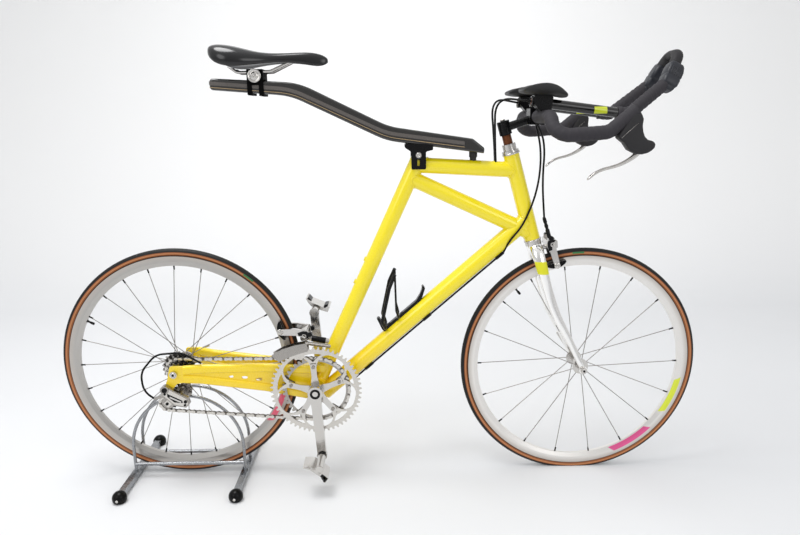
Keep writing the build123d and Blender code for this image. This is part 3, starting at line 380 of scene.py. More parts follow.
class Surface(Nodes):
    """A node material whose colour, roughness and relief come from procedural textures."""

    def __init__(self, name, colour, roughness, metallic=0.0, coat=0.0, vary=0.08, grain=300.0, relief=0.05,
                 depth=0.0002, stretch=(1, 1, 1), shine=0.5):
        self.material = bpy.data.materials.new(name)
        self.material.use_nodes = True
        super().__init__(self.material.node_tree)
        self.shader = self.tree.nodes["Principled BSDF"]
        self.shader.inputs["Metallic"].default_value = metallic
        self.shader.inputs["Coat Weight"].default_value = coat
        self.shader.inputs["Coat Roughness"].default_value = COAT_ROUGHNESS
        self.shader.inputs["Specular IOR Level"].default_value = shine
        self.place = self.node("ShaderNodeTexCoord").outputs["Object"]
        mapping = self.node("ShaderNodeMapping", Scale=stretch)
        self.join(self.place, mapping.inputs["Vector"])
        noise = self.node("ShaderNodeTexNoise", Scale=grain, Detail=4.0, Roughness=0.6)
        self.join(mapping.outputs["Vector"], noise.inputs["Vector"])
        self.noise = noise.outputs["Fac"]
        low = [c * (1 - vary) for c in linear(*colour)[:3]] + [1.0]
        high = [min(1.0, c * (1 + vary)) for c in linear(*colour)[:3]] + [1.0]
        self.colour = self.mix(self.noise, low, high)
        self.join(self.colour, self.shader.inputs["Base Color"])
        smoothest = roughness * (1 - ROUGHNESS_SPREAD)
        roughest = roughness * (1 + ROUGHNESS_SPREAD)
        self.join(self.ranged(self.noise, 0.3, 0.7, smoothest, roughest), self.shader.inputs["Roughness"])
        bump = self.node("ShaderNodeBump", Strength=relief, Distance=depth)
        self.bump_height = bump.inputs["Height"]
        self.join(self.noise, self.bump_height)
        self.join(bump.outputs["Normal"], self.shader.inputs["Normal"])

    def mix(self, factor, a, b):
        made = self.tree.nodes.new("ShaderNodeMix")
        made.data_type = "RGBA"
        self.join(factor, made.inputs["Factor"])
        for key, value in (("A", a), ("B", b)):
            socket = [s for s in made.inputs if s.name == key and s.type == "RGBA"][0]
            if isinstance(value, (list, tuple)):
                socket.default_value = value
            else:
                self.join(value, socket)
        return [s for s in made.outputs if s.type == "RGBA"][0]

    def axis(self, name):
        split = self.node("ShaderNodeSeparateXYZ")
        self.join(self.place, split.inputs[0])
        return split.outputs[name]

    def polar(self, centre):
        """Distance and angle round an axle, in the piece's own frame."""
        x = self.math("SUBTRACT", self.axis("X"), centre.x)
        z = self.math("SUBTRACT", self.axis("Z"), centre.z)
        square = self.math("ADD", self.both(x, x), self.both(z, z))
        return self.math("SQRT", square), self.math("ARCTAN2", z, x)

    def band(self, value, low, high, soft=0.0006):
        """One between low and high, zero outside, with a soft edge."""
        rise = self.ranged(value, low - soft, low + soft, 0.0, 1.0)
        fall = self.ranged(value, high - soft, high + soft, 1.0, 0.0)
        return self.both(rise, fall)

    def paint(self, mask, colour):
        """Lays a colour over the base colour where the mask is one."""
        self.colour = self.mix(mask, self.colour, linear(*colour))
        self.join(self.colour, self.shader.inputs["Base Color"])

    def lacquer(self, mask, colour, roughness):
        """Paint that hides the metal where the mask is one."""
        self.paint(mask, colour)
        link = self.shader.inputs["Roughness"].links[0].from_socket
        keep = self.both(link, self.math("SUBTRACT", 1.0, mask))
        self.join(self.math("MULTIPLY_ADD", mask, roughness, keep), self.shader.inputs["Roughness"])
        bare = self.shader.inputs["Metallic"].default_value
        self.join(self.ranged(mask, 0.0, 1.0, bare, 0.0), self.shader.inputs["Metallic"])

    def weave(self, pitch, strength):
        """Fine crossed ribs added to the relief."""
        waves = []
        for direction in ("X", "Z"):
            wave = self.node("ShaderNodeTexWave", Scale=1 / (pitch * 6.283) * 2)
            wave.bands_direction = direction
            self.join(self.place, wave.inputs["Vector"])
            waves.append(wave.outputs["Fac"])
        self.join(self.math("MULTIPLY_ADD", self.both(*waves), strength, self.noise), self.bump_height)


TYRE_BANDS = [
    # low and high edge from the rim's outer edge, softness, colour
    # The paler band within the tan wall is a painted highlight along the wall's bulge, and the thin darker
    # line just inside it painted shade.
    (0.0012, TYRE_R - RIM_OUTER_R - 0.0084, 0.0008, (160, 98, 60)), (0.0046, 0.0072, 0.0008, (190, 128, 84)),
    (0.0036, 0.0043, 0.0003, (104, 58, 34)), (-0.001, 0.0014, 0.0003, (58, 40, 30)),
]
PATCH_HALF = 0.05


def wheel_rubber(name, centre, patch_angle):
    """Black tread with tan walls and one small coloured patch."""
    s = Surface(name, (17, 16, 16), 0.55, vary=0.25, grain=500, relief=0.25, depth=0.0004, shine=0.3)
    r, angle = s.polar(centre)
    for low, high, soft, colour in TYRE_BANDS:
        s.paint(s.band(r, RIM_OUTER_R + low, RIM_OUTER_R + high, soft), colour)
    patch = s.band(angle, patch_angle - PATCH_HALF, patch_angle + PATCH_HALF, 0.004)
    s.paint(s.both(s.band(r, TYRE_R - 0.0125, TYRE_R - 0.0080), patch), (52, 120, 70))
    return s.material


BLOCK_SLANT = -3.0


def rim_metal(name, centre, colour, blocks):
    """Turned metal with plain colour blocks; a block is its low and high angle and its colour."""
    s = Surface(name, colour, 0.36, metallic=0.9, vary=0.03, grain=900, relief=0.03, depth=0.0001)
    r, angle = s.polar(centre)
    rings = s.node("ShaderNodeTexWave", Scale=260)
    rings.wave_type = "RINGS"
    rings.rings_direction = "Y"
    offset = s.node("ShaderNodeMapping", Location=tuple(-centre))
    s.join(s.place, offset.inputs["Vector"])
    s.join(offset.outputs["Vector"], rings.inputs["Vector"])
    s.join(s.math("MULTIPLY_ADD", rings.outputs["Fac"], 0.6, s.noise), s.bump_height)
    s.paint(s.ranged(r, RIM_OUTER_R - 0.013, RIM_OUTER_R, 0.0, 1.0), (196, 188, 180))
    s.paint(s.band(r, RIM_OUTER_R - 0.0010, RIM_OUTER_R + 0.002, 0.0004), (92, 86, 82))
    for low, high, tint in blocks:
        skew = s.math("MULTIPLY_ADD", s.math("SUBTRACT", r, RIM_INNER_R), BLOCK_SLANT, angle)
        wall = s.band(r, RIM_INNER_R + 0.003, RIM_OUTER_R - 0.009)
        s.lacquer(s.both(wall, s.band(skew, math.radians(low), math.radians(high), 0.006)), tint, 0.4)
    return s.material


FINISHES = {
    # finish: name, colour, roughness, what else sets it apart
    "silver_metal": ("silver", (204, 201, 197), 0.2, dict(metallic=1.0, vary=0.05, grain=700)),
    "ring_metal": ("ring_alloy", (208, 204, 198), 0.24,
                   dict(metallic=1.0, vary=0.06, grain=500, relief=0.06)),
    "dull_metal": ("dull_alloy", (164, 160, 155), 0.26,
                   dict(metallic=1.0, vary=0.12, grain=350, relief=0.12)),
    # A darker copy of the metal for every other sprocket: painted shade.
    "dark_metal": ("dark_alloy", (70, 68, 66), 0.34, dict(metallic=1.0, vary=0.15, grain=350, relief=0.1)),
    # A darker copy of the chain metal for the inner links and rollers: painted shade.
    "chain_shade_paint": ("chain_shade_paint", (118, 114, 108), 0.34, dict(metallic=1.0, vary=0.15, grain=350, relief=0.1)),
    "spoke_steel": ("steel", (150, 146, 142), 0.33, dict(metallic=1.0, grain=800)),
    "stand_steel": ("stand_steel", (156, 158, 161), 0.26, dict(metallic=1.0, relief=0.06)),
    "quill_bronze": ("quill", (112, 66, 40), 0.4, dict(metallic=0.8, vary=0.3, grain=260, relief=0.15)),
    "black_metal": ("satin_black", (9, 9, 10), 0.28,
                    dict(coat=0.06, vary=0.2, grain=380, relief=0.06, shine=0.2)),
    "strap_black": ("strap_black", (10, 10, 10), 0.7, dict(vary=0.2, grain=380, relief=0.1, shine=0.04)),
    # A paler grey for the upper part of the beam's sides: a painted highlight.
    "beam_sheen_paint": ("beam_sheen_paint", (88, 83, 79), 0.26,
                      dict(coat=0.6, vary=0.4, grain=700, relief=0.1, stretch=(1, 1, 3))),
    "seam_tan": ("seam", (178, 152, 112), 0.45, dict(coat=0.5, vary=0.1)),
    "frame_stop": ("stop_rubber", (30, 28, 24), 0.6, dict(vary=0.2, relief=0.1)),
    "black_rubber": ("rubber", (8, 8, 8), 0.3,
                     dict(vary=0.2, grain=600, relief=0.06, depth=0.0003, shine=0.14)),
    "hood_rubber": ("hood_rubber", (40, 39, 41), 0.62,
                    dict(vary=0.2, grain=800, relief=0.3, depth=0.0003, shine=0.3)),
    "pod_rubber": ("pod_rubber", (34, 36, 43), 0.42,
                   dict(vary=0.2, grain=500, relief=0.15, depth=0.0003, shine=0.4)),
    "bar_tape": ("tape", (52, 50, 54), 0.74, dict(vary=0.3, grain=900, relief=0.5, depth=0.0005, shine=0.3)),
    "saddle_leather": ("leather", (12, 12, 14), 0.2,
                       dict(vary=0.2, grain=650, relief=0.06, depth=0.0003, shine=0.55)),
    "pad_foam": ("pad_cover", (28, 28, 29), 0.5, dict(vary=0.3, grain=1200, relief=0.3, depth=0.0004)),
    "cable_housing": ("housing", (9, 9, 10), 0.32, dict(vary=0.15, grain=400, shine=0.2)),
}


def make_materials():
    m = {}
    for key, (name, colour, roughness, rest) in FINISHES.items():
        m[key] = Surface(name, colour, roughness, **rest).material
    yellow = Surface("frame_yellow", (246, 226, 8), 0.3, coat=0.9, vary=0.02, grain=420, relief=0.02)
    # The yellow turns deeper and more orange toward the bottom of the frame: painted shade on the lower
    # tubes.
    yellow.paint(yellow.ranged(yellow.axis("Z"), 0.46, 0.27, 0.0, 0.8), (248, 206, 4))
    m["frame_paint"] = yellow.material
    chrome = Surface("fork_plate", (250, 249, 247), 0.14, metallic=1.0, vary=0.03, grain=160, relief=0.02)
    z_at = head(0.86 * CROWN_S).z
    height = chrome.band(chrome.axis("Z"), z_at - 0.024, z_at + 0.008)
    outside = chrome.band(chrome.math("ABSOLUTE", chrome.axis("Y")), 0.0345, 0.07, 0.0005)
    chrome.lacquer(chrome.both(height, outside), (222, 220, 30), 0.35)
    m["fork_chrome"] = chrome.material
    gloss = Surface("gloss_black", (12, 11, 10), 0.16, coat=0.4, vary=0.2, grain=260, relief=0.02, shine=0.4)
    length = gloss.band(gloss.axis("X"), BAR.x + 0.116, BAR.x + 0.146, 0.0008)
    height = gloss.band(gloss.axis("Z"), BAR.z + 0.006, BAR.z + 0.0215)
    gloss.paint(gloss.both(length, height), (196, 206, 48))
    m["aero_black"] = gloss.material
    carbon = Surface("carbon", (30, 28, 26), 0.22, coat=0.7, vary=0.5, grain=900, relief=0.1,
                     stretch=(1, 1, 3))
    carbon.weave(0.0024, 1.5)
    m["carbon_laminate"] = carbon.material
    m["tyre_front"] = wheel_rubber("tyre_front", FRONT_HUB, math.radians(93))
    m["tyre_rear"] = wheel_rubber("tyre_rear", REAR_HUB, math.radians(51))
    pink_and_lime = [(-69, -45, (236, 104, 158)), (-33, -12, (214, 224, 62))]
    m["rim_front"] = rim_metal("rim_front", FRONT_HUB, (232, 229, 225), pink_and_lime)
    # The rear rim takes a darker copy of the front rim's metal: painted shade on the rear wheel.
    m["rim_rear"] = rim_metal("rim_rear", REAR_HUB, (182, 179, 175), [(-38, -20, (226, 96, 122))])
    return m


MATERIALS = make_materials()
NODE_FINISH = {
    "front_tyre": "tyre_front", "rear_tyre": "tyre_rear", "front_rim": "rim_front", "rear_rim": "rim_rear",
    # The inner chainring takes the darker dull metal: painted shade behind the outer ring.
    "aero_bar": "aero_black", "chainring_inner": "dull_metal", "rear_derailleur": "dull_metal",
    "front_derailleur": "dull_metal", "stand_hoops": "stand_steel", "stand_base": "stand_steel",
}


def dress_nodes():
    """Every carried-over node gets its own finish, or else its slot's."""
    slots = {p["node"]: p["material_slot"] for p in frame["record"]["subparts"]}
    for name, node in frame["nodes"].items():
        node.data.materials.clear()
        node.data.materials.append(MATERIALS[NODE_FINISH.get(name, slots[name])])


# Saddle
SADDLE_SECTIONS = [
    # x, half width, top, skirt edge, from the seat cluster
    (-487, 26, 262, 249), (-478, 47, 267, 234), (-461, 62, 269, 221), (-434, 67, 266, 214),
    (-404, 60, 259, 216), (-374, 44, 251, 221), (-339, 31, 248, 225), (-299, 23, 249, 227),
    (-264, 19, 251, 223), (-239, 16, 249, 218), (-221, 12, 243, 221), (-211, 6, 236, 227),
]
SADDLE_OUTLINE = [
    # share of the half width, share of the height
    (0.0, 1.0), (0.38, 0.985), (0.7, 0.9), (0.92, 0.68), (1.0, 0.36), (0.97, 0.08), (0.86, 0.0),
    (0.7, 0.16), (0.35, 0.24), (0.0, 0.26),
]


def saddle():
    outline = SADDLE_OUTLINE + [(-y, z) for y, z in reversed(SADDLE_OUTLINE[1:-1])]
    rings = []
    for x, half, top, edge in SADDLE_SECTIONS:
        rings.append([at_cluster(x, y * half, edge + z * (top - edge)) for y, z in outline])
    build = Build()
    build.ring_stack(rings)
    piece = build.piece("saddle_cover", "saddle_leather", "frame", "saddle_leather", "saddle")
    subdivided(piece)


# Saddle clamp: a block on two straps round the beam, with a cross bolt
CLAMP_BLOCKS = [
    # rear and front face, half width, underside and top, from the seat cluster
    (-399, -361, 28, 176, 212), (-399, -388, 28.4, 153.5, 190), (-372, -361, 28.4, 151.5, 190),
]
KNOB_X, KNOB_Z = -380, 197
KNOB_REACH = 33
KNOB_R = 0.0145


def saddle_clamp():
    build = Build()
    for rear, front, half, low, high in CLAMP_BLOCKS:
        corners = ((rear, low), (front, low), (front, high), (rear, high))
        build.plate(flat(at_cluster(x, 0, z) for x, z in corners), -half * MM, half * MM)
    build.rod(*[at_cluster(KNOB_X, y, KNOB_Z) for y in (-KNOB_REACH, KNOB_REACH)], KNOB_R, 48)
    bevelled(build.piece("clamp_block", "strap_black", "frame", "black_metal", "saddle_clamp", False), 0.0014)


# Arm pads: cupped cushions
PAD_ARCH = [
    # x, floor of the cup, top of the walls, underside, from the bar
    (-57, 58, 60, 54), (-50, 58, 66, 51), (-36, 59, 73, 49), (-18, 60, 77, 48), (-2, 60, 78, 47),
    (14, 59, 74, 45), (27, 55, 66, 43), (38, 49, 55, 41), (45, 44, 47, 41),
]
PAD_SHARES = (-0.97, -0.86, -0.6, -0.3, 0.0, 0.3, 0.6, 0.86, 0.97)
PAD_Y = 90
PAD_HALF_W = 38


def arm_pads():
    build = Build()
    for side in SIDES:
        rings = []
        for x, floor, wall, under in PAD_ARCH:
            ring = []
            for v in PAD_SHARES:
                ring.append(at_bar(x, side * PAD_Y + v * PAD_HALF_W, floor + (wall - floor) * v ** 4))
            for v in reversed(PAD_SHARES):
                lift = 0.55 * (wall - under) * abs(v) ** 5
                ring.append(at_bar(x, side * PAD_Y + v * PAD_HALF_W * 1.02, under + lift))
            rings.append(ring)
        build.ring_stack(rings)
    piece = build.piece("arm_pad_covers", "pad_foam", "steering", "pad_foam", "arm_pads")
    subdivided(piece)


# Bars: wrapped tape, hoods, levers, pods
HORN_Y = 190
BASE_PATH = [(172, -HORN_Y, 13), (116, -HORN_Y, -33), (0, -HORN_Y, -41), (0, -150, 0), (0, -24, 0)]
AERO_PATH = [(172, -67.5, 7.7), (200, -66, 4), (284, -50.7, 70.8)]
TIP_PATH = [(310, -34.5, 115), (322, -26, 138), (322, 26, 138), (310, 34.5, 115)]
TIP_R = 0.0131
PATH_STEP = 0.0014
TAPE_PITCH = 0.0135
TAPE_FALL = 0.18


def wrapped(path, inner, thick, name):
    """Tape wound round a bar, each turn lapping the last."""
    def radius_at(travelled, angle):
        phase = (travelled / TAPE_PITCH + angle / TURN) % 1.0
        lap = min(phase / (1 - TAPE_FALL), (1 - phase) / TAPE_FALL)
        return inner + thick * (0.6 + 0.4 * lap)

    build = Build()
    for sign in (1, -1):
        build.ring_stack(tube_rings([Vector((p.x, sign * p.y, p.z)) for p in path], radius_at, 28))
    build.piece(name, "bar_tape", "steering", "bar_tape")


def tapes():
    wrapped(rounded_path([at_bar(*p) for p in BASE_PATH], 0.036, PATH_STEP), 0.01405, 0.0014, "horn_tape")
    wrapped(rounded_path([at_bar(*p) for p in AERO_PATH], 0.020, PATH_STEP), 0.0118, 0.0032, "aero_tape")
    tip = rounded_path([at_bar(*p) for p in TIP_PATH], 0.020, PATH_STEP)
    build = Build().ring_stack(tube_rings(tip, lambda travelled, angle: TIP_R, 24))
    build.piece("tip_rubber", "hood_rubber", "steering", "black_rubber")


HOOD_SHAPE = [
    (131, -44), (160, 6), (178, 8), (184, -6), (183, -20), (185, -32), (189, -42), (196, -49), (204, -51),
    (211, -53), (213, -59), (212, -66), (206, -72), (198, -77), (186, -80), (174, -79),
    (158, -71), (147, -56),
]
HOOD_HALF_W = 16.2
HOOD_EDGE_Y = 16.0
HOOD_EDGE_ENDS = [(138, -45), (172, -14)]
HOOD_EDGE_R = 0.0005


def hoods():
    build = Build()
    edge = Build()
    outline = flat(at_bar(x, 0, z) for x, z in HOOD_SHAPE)
    for side in SIDES:
        y = side * HORN_Y * MM
        build.plate(outline, y - HOOD_HALF_W * MM, y + HOOD_HALF_W * MM)
        for face in (-1, 1):
            y = side * HORN_Y + face * HOOD_EDGE_Y
            edge.rod(*[at_bar(x, y, z) for x, z in HOOD_EDGE_ENDS], HOOD_EDGE_R, 8)
    bevelled(build.piece("hood_rubbers", "hood_rubber", "steering", "black_rubber", "hoods"), 0.0075, 5, 50)
    edge.piece("hood_edges", "dull_metal", "steering", "silver_metal")


LEVER_PATH = [
    # x, z, half thickness, half width
    (186, -66, 9, 5.5), (181, -77, 7, 5.5), (170, -88, 5, 5.5), (147, -101, 4.2, 5.8), (128, -107, 3.8, 5.8),
    (109, -111, 3.6, 5.6), (95, -117, 3.6, 5.2), (84, -125, 3.6, 5.0), (77, -132, 3.0, 4.4),
    (75, -134, 1.4, 2.4),
]
LEVER_SIDES = 12


def levers():
    build = Build()
    for side in SIDES:
        rings = []
        for i, (x, z, half_t, half_w) in enumerate(LEVER_PATH):
            a = LEVER_PATH[max(i - 1, 0)]
            b = LEVER_PATH[min(i + 1, len(LEVER_PATH) - 1)]
            along = Vector((b[0] - a[0], 0, b[1] - a[1])).normalized()
            normal = Vector((-along.z, 0, along.x))
            ring = []
            for k in range(LEVER_SIDES):
                t = TURN * k / LEVER_SIDES
                point = at_bar(x, side * HORN_Y, z) + normal * (half_t * math.cos(t) * MM)
                ring.append(point + Y_OUT * (half_w * math.sin(t) * MM))
            rings.append(ring)
        build.ring_stack(rings)
    subdivided(build.piece("lever_blades", "silver_metal", "steering", "silver_metal", "levers"))


CORNER_STEPS = 5


def box_ring(centre, u, v, half_u, half_v, corner):
    """A rounded rectangle of points."""
    ring = []
    for i, (su, sv) in enumerate(((1, 1), (-1, 1), (-1, -1), (1, -1))):
        for k in range(CORNER_STEPS):
            a = math.pi / 2 * (i + k / (CORNER_STEPS - 1))
            along = su * (half_u - corner) + corner * math.cos(a)
            across = sv * (half_v - corner) + corner * math.sin(a)
            ring.append(centre + u * along + v * across)
    return ring


POD_ROWS = [
    # forward, out, up, half size fore and aft, half size across
    (284, 50.6, 58, 13, 13), (285, 50.3, 59.5, 14.6, 14.6), (288.5, 49, 64, 16.2, 15.8),
    (289.5, 48.6, 65.5, 15.4, 15), (290, 48.3, 67, 17, 16.4), (293, 47, 71, 18.8, 17.6),
    (299, 43.3, 83, 19.6, 18), (300, 42.7, 84.5, 18.8, 17.2), (301, 42.2, 86.5, 18.8, 17.2),
    (302, 41.6, 88.5, 19.8, 18), (308, 38, 100, 19.6, 17.8), (312, 35.4, 110, 18, 16.4),
    (314, 34, 114, 15.6, 14.6), (314.6, 33.6, 115.4, 13, 12.4),
]
POD_CORNER = 0.0075
POD_RIBS = 5
RIB_STEP = 0.0056
RIB_R = 0.0012


def pods():
    build = Build()
    for side in SIDES:
        along = (at_bar(314, side * 34, 114) - at_bar(286, side * 50, 60)).normalized()
        u = Vector((-along.z, 0, along.x)).normalized()
        v = along.cross(u)
        rings = []
        for x, out, z, half_u, half_v in POD_ROWS:
            rings.append(box_ring(at_bar(x, side * out, z), u, v, half_u * MM, half_v * MM, POD_CORNER))
        build.ring_stack(rings)
        for k in range(POD_RIBS):
            a = at_bar(303, side * 41, 92) + v * side * -0.0178 + u * ((k - 2) * RIB_STEP)
            build.rod(a - along * 0.006, a + along * 0.013, RIB_R, 8, RIB_R / 2)
    piece = build.piece("pod_bodies", "pod_rubber", "steering", "black_rubber", "shifter_pods")
    bevelled(piece, 0.0006, 2, 40)


BAR_RIM = [(0, 0.0119), (0.0052, 0.0123), (0.0062, 0.0116), (0.0062, 0.0096), (0.0044, 0.0092)]
BAR_BORE = [(0, 0.0094), (0.0012, 0.0094)]


def bar_ends():
    """Open rear ends of the aero bar."""
    rims = Build()
    cores = Build()
    for side in SIDES:
        end = at_bar(-28, side * 78, 34)
        axis = (end - at_bar(200, side * 66, 4)).normalized()
        rims.lathe(end - axis * 0.004, axis, BAR_RIM, 32)
        cores.lathe(end - axis * 0.0004, axis, BAR_BORE, 32)
    rims.piece("aero_rims", "aero_black", "steering", "black_metal")
    cores.piece("aero_bores", "quill_bronze", "steering", "black_metal")


# Chain: rollers and alternating plates along the chain line
SPROCKET_R = 14 * PITCH / TURN
RING_R = 42 * PITCH / TURN
PULLEY_TEETH = 10
PULLEY_R = PULLEY_TEETH * PITCH / TURN
UPPER_PULLEY = Vector((REAR_HUB.x + 0.009, 0, REAR_HUB.z - 0.055))
LOWER_PULLEY = Vector((REAR_HUB.x - 0.033, 0, REAR_HUB.z - 0.091))
CHAIN_WHEELS = [
    # centre, pitch radius, which way the chain turns round it
    (REAR_HUB, SPROCKET_R, 1), (CRANK, RING_R, 1), (LOWER_PULLEY, PULLEY_R, 1), (UPPER_PULLEY, PULLEY_R, -1),
]
BEND_STEPS = 24
RUN_STEPS = 12


def chain_line():
    """The chain's pitch line as dense points."""
    runs = []
    for i, (c0, r0, s0) in enumerate(CHAIN_WHEELS):
        c1, r1, s1 = CHAIN_WHEELS[(i + 1) % len(CHAIN_WHEELS)]
        dx, dz = c1.x - c0.x, c1.z - c0.z
        out = spoke_way(math.atan2(dz, dx) + math.acos((s0 * r0 - s1 * r1) / math.hypot(dx, dz)))
        runs.append((c0 + out * (s0 * r0), c1 + out * (s1 * r1)))
    points = []
    for i, (c, r, s) in enumerate(CHAIN_WHEELS):
        first, last = runs[i - 1][1], runs[i][0]
        a0 = math.atan2(first.z - c.z, first.x - c.x)
        a1 = math.atan2(last.z - c.z, last.x - c.x)
        sweep = (a0 - a1) * s % TURN
        for k in range(BEND_STEPS + 1):
            a = a0 - s * sweep * k / BEND_STEPS
            points.append(Vector((c.x + r * math.cos(a), 0, c.z + r * math.sin(a))))
        for k in range(1, RUN_STEPS):
            points.append(runs[i][0].lerp(runs[i][1], k / RUN_STEPS))
    return points


def chain_pins():
    """Pins one pitch apart, an even number of them."""
    line = chain_line()
    line.append(line[0])
    lengths = [0.0]
    for a, b in zip(line, line[1:]):
        lengths.append(lengths[-1] + (b - a).length)
    count = 2 * round(lengths[-1] / PITCH / 2)
    pins = []
    index = 0
    for k in range(count):
        want = lengths[-1] * k / count
        while lengths[index + 1] < want:
            index += 1
        share = (want - lengths[index]) / (lengths[index + 1] - lengths[index])
        pins.append(line[index].lerp(line[index + 1], share))
    return pins


PINS = chain_pins()
LINK_END_R = 0.0042
LINK_WAIST = 0.0025
INNER_GAP = (0.0017, 0.0026)
OUTER_GAP = (0.0026, 0.0034)


def chain():
    outer = Build()
    inner = Build()
    for k, a in enumerate(PINS):
        b = PINS[(k + 1) % len(PINS)]
        along = (b - a).normalized()
        normal = Vector((-along.z, 0, along.x))
        outline = []
        for centre, start in ((a, math.pi / 2), (b, -math.pi / 2)):
            for j in range(7):
                t = start + math.pi * j / 6
                outline.append(centre + (along * math.cos(t) + normal * math.sin(t)) * LINK_END_R)
            outline.append((a + b) / 2 + normal * (LINK_WAIST if start < 0 else -LINK_WAIST))
        build, gap = (inner, INNER_GAP) if k % 2 else (outer, OUTER_GAP)
        for side in (-1, 1):
            build.plate(flat(outline), CHAIN_Y + side * gap[0], CHAIN_Y + side * gap[1])
        for part, half, r, sides in ((inner, 0.0016, 0.0037, 10), (outer, 0.0040, 0.0018, 8)):
            pin = a + Y_OUT * CHAIN_Y
            part.rod(pin - Y_OUT * half, pin + Y_OUT * half, r, sides)
    outer.piece("chain_links", "ring_metal", "frame", "spoke_steel", "chain", smooth=False)
    # Outer plates take the bright ring metal, inner plates and rollers a darker copy: painted light and shade
    # along the chain.
    inner.piece("chain_inner_links", "chain_shade_paint", "frame", "spoke_steel", smooth=False)


# Toothed wheels
def teeth_loop(centre, teeth, root, tip, phase):
    loop = []
    flank = root + 0.0006
    step = TURN / teeth
    for k in range(teeth):
        for share, r in ((-0.5, root), (-0.27, flank), (-0.10, tip), (0.10, tip), (0.27, flank)):
            a = phase + step * (k + share)
            loop.append((centre.x + r * math.cos(a), centre.z + r * math.sin(a)))
    return loop


LOOP_SIDES = 32


def circle_loop(x, z, r):
    angles = [TURN * k / LOOP_SIDES for k in range(LOOP_SIDES)]
    return [(x + r * math.cos(a), z + r * math.sin(a)) for a in angles]


def chain_phase(centre, r):
    """The angle midway between two pins lying on a wheel."""
    turns = []
    for p in PINS:
        if abs(math.hypot(p.x - centre.x, p.z - centre.z) - r) < 2e-4:
            turns.append(math.atan2(p.z - centre.z, p.x - centre.x))
    return turns[len(turns) // 2] + PITCH / (2 * r)


SPROCKETS = [
    # teeth, place counted from the chain's own sprocket toward the wheel
    (21, 3), (19, 2), (17, 1), (14, 0), (13, -1), (12, -2), (11, -3),
]
SPROCKET_STEP = 0.0048
SPROCKET_HALF = 0.0009
SPROCKET_BORE = 0.0120
CHAIN_TOOTH = (0.0044, 0.0024)
PLAIN_TOOTH = (0.0034, 0.0016)
CORE_HALF = 0.0159


def sprockets():
    tone = [Build(), Build()]
    for i, (teeth, place) in enumerate(SPROCKETS):
        y = CHAIN_Y + place * SPROCKET_STEP
        pitch_r = teeth * PITCH / TURN
        depth, height = PLAIN_TOOTH if place else CHAIN_TOOTH
        phase = 0.2 * i if place else chain_phase(REAR_HUB, SPROCKET_R)
        rim = teeth_loop(REAR_HUB, teeth, pitch_r - depth, pitch_r + height, phase)
        bore = circle_loop(REAR_HUB.x, REAR_HUB.z, SPROCKET_BORE)
        tone[i % 2].cut([rim, bore], y - SPROCKET_HALF, y + SPROCKET_HALF)
    # Every other sprocket takes a darker copy of the metal: painted shade between the stacked sprockets.
    tone[0].piece("sprockets", "dull_metal", "frame", "black_metal", "cassette", smooth=False)
    tone[1].piece("sprockets_between", "dark_metal", "frame", "black_metal", smooth=False)
    core = Build()
    low, high = CHAIN_Y - CORE_HALF, CHAIN_Y + CORE_HALF
    core.lathe(Vector((REAR_HUB.x, low, REAR_HUB.z)), Y_OUT, [
        (0, 0.0095), (0.0002, 0.0150), (high - low - 0.0002, 0.0150), (high - low, 0.0095),
    ], 40)
    core.piece("sprocket_core", "black_metal", "frame", "black_metal")


# Rear derailleur: faces, pivots and pulleys
HANGER = Vector((REAR_HUB.x - 0.023, 0, REAR_HUB.z - 0.038))
MECH_PANEL = [(-6, -1), (4, 6), (52, -23), (56, -36), (49, -44), (22, -38), (-4, -13)]
MECH_CAGE = [(-9, 1), (2, -10), (51, 36), (45, 46), (34, 44)]
MECH_SLOT = [(6, -9), (42, -28), (43, -34), (22, -32), (6, -17)]
MECH_LINK = [(12, -16), (40, -30), (38, -33), (12, -20)]
MECH_PANEL_Y = (-0.0854, -0.0838)
MECH_CAGE_Y = (-0.0496, -0.0480)
MECH_SLOT_Y = (-0.0858, -0.0850)
MECH_LINK_Y = (-0.0864, -0.0856)
PULLEY_HALF = 0.0014
PULLEY_BORE = 0.0034
PULLEY_TOOTH = (0.0044, 0.0022)
MECH_BOLTS = [
    # forward and up from the hanger, level, radius
    (0, 0, -0.0860, 0.0066), (50, -31, -0.0852, 0.0042), (48, -40, -0.0852, 0.0030),
    (0, -10, -0.0852, 0.0030),
]


def rear_mech():
    faces = Build()
    faces.cut([around(HANGER, MECH_PANEL)], *MECH_PANEL_Y, 0.0006)
    window = circle_loop(LOWER_PULLEY.x + 0.021, LOWER_PULLEY.z + 0.018, 0.006)
    faces.cut([around(LOWER_PULLEY, MECH_CAGE), window], *MECH_CAGE_Y, 0.0004)
    faces.piece("mech_faces", "ring_metal", "frame", "silver_metal", smooth=False)
    dark = Build()
    dark.cut([around(HANGER, MECH_SLOT)], *MECH_SLOT_Y)
    for x, z, y, r in MECH_BOLTS:
        dark.bolt(Vector((HANGER.x + x * MM, y, HANGER.z + z * MM)), -Y_OUT, r, 0.0022)
    for pulley in (UPPER_PULLEY, LOWER_PULLEY):
        phase = chain_phase(pulley, PULLEY_R)
        depth, height = PULLEY_TOOTH
        rim = teeth_loop(pulley, PULLEY_TEETH, PULLEY_R - depth, PULLEY_R + height, phase)
        bore = circle_loop(pulley.x, pulley.z, PULLEY_BORE)
        dark.cut([rim, bore], CHAIN_Y - PULLEY_HALF, CHAIN_Y + PULLEY_HALF)
    dark.bolt(Vector((LOWER_PULLEY.x, -0.0494, LOWER_PULLEY.z)), -Y_OUT, 0.0040, 0.0020)
    dark.piece("mech_pivots", "black_metal", "frame", "black_metal", smooth=False)
    bright = Build().cut([around(HANGER, MECH_LINK)], *MECH_LINK_Y)
    bright.piece("mech_links", "silver_metal", "frame", "silver_metal", smooth=False)


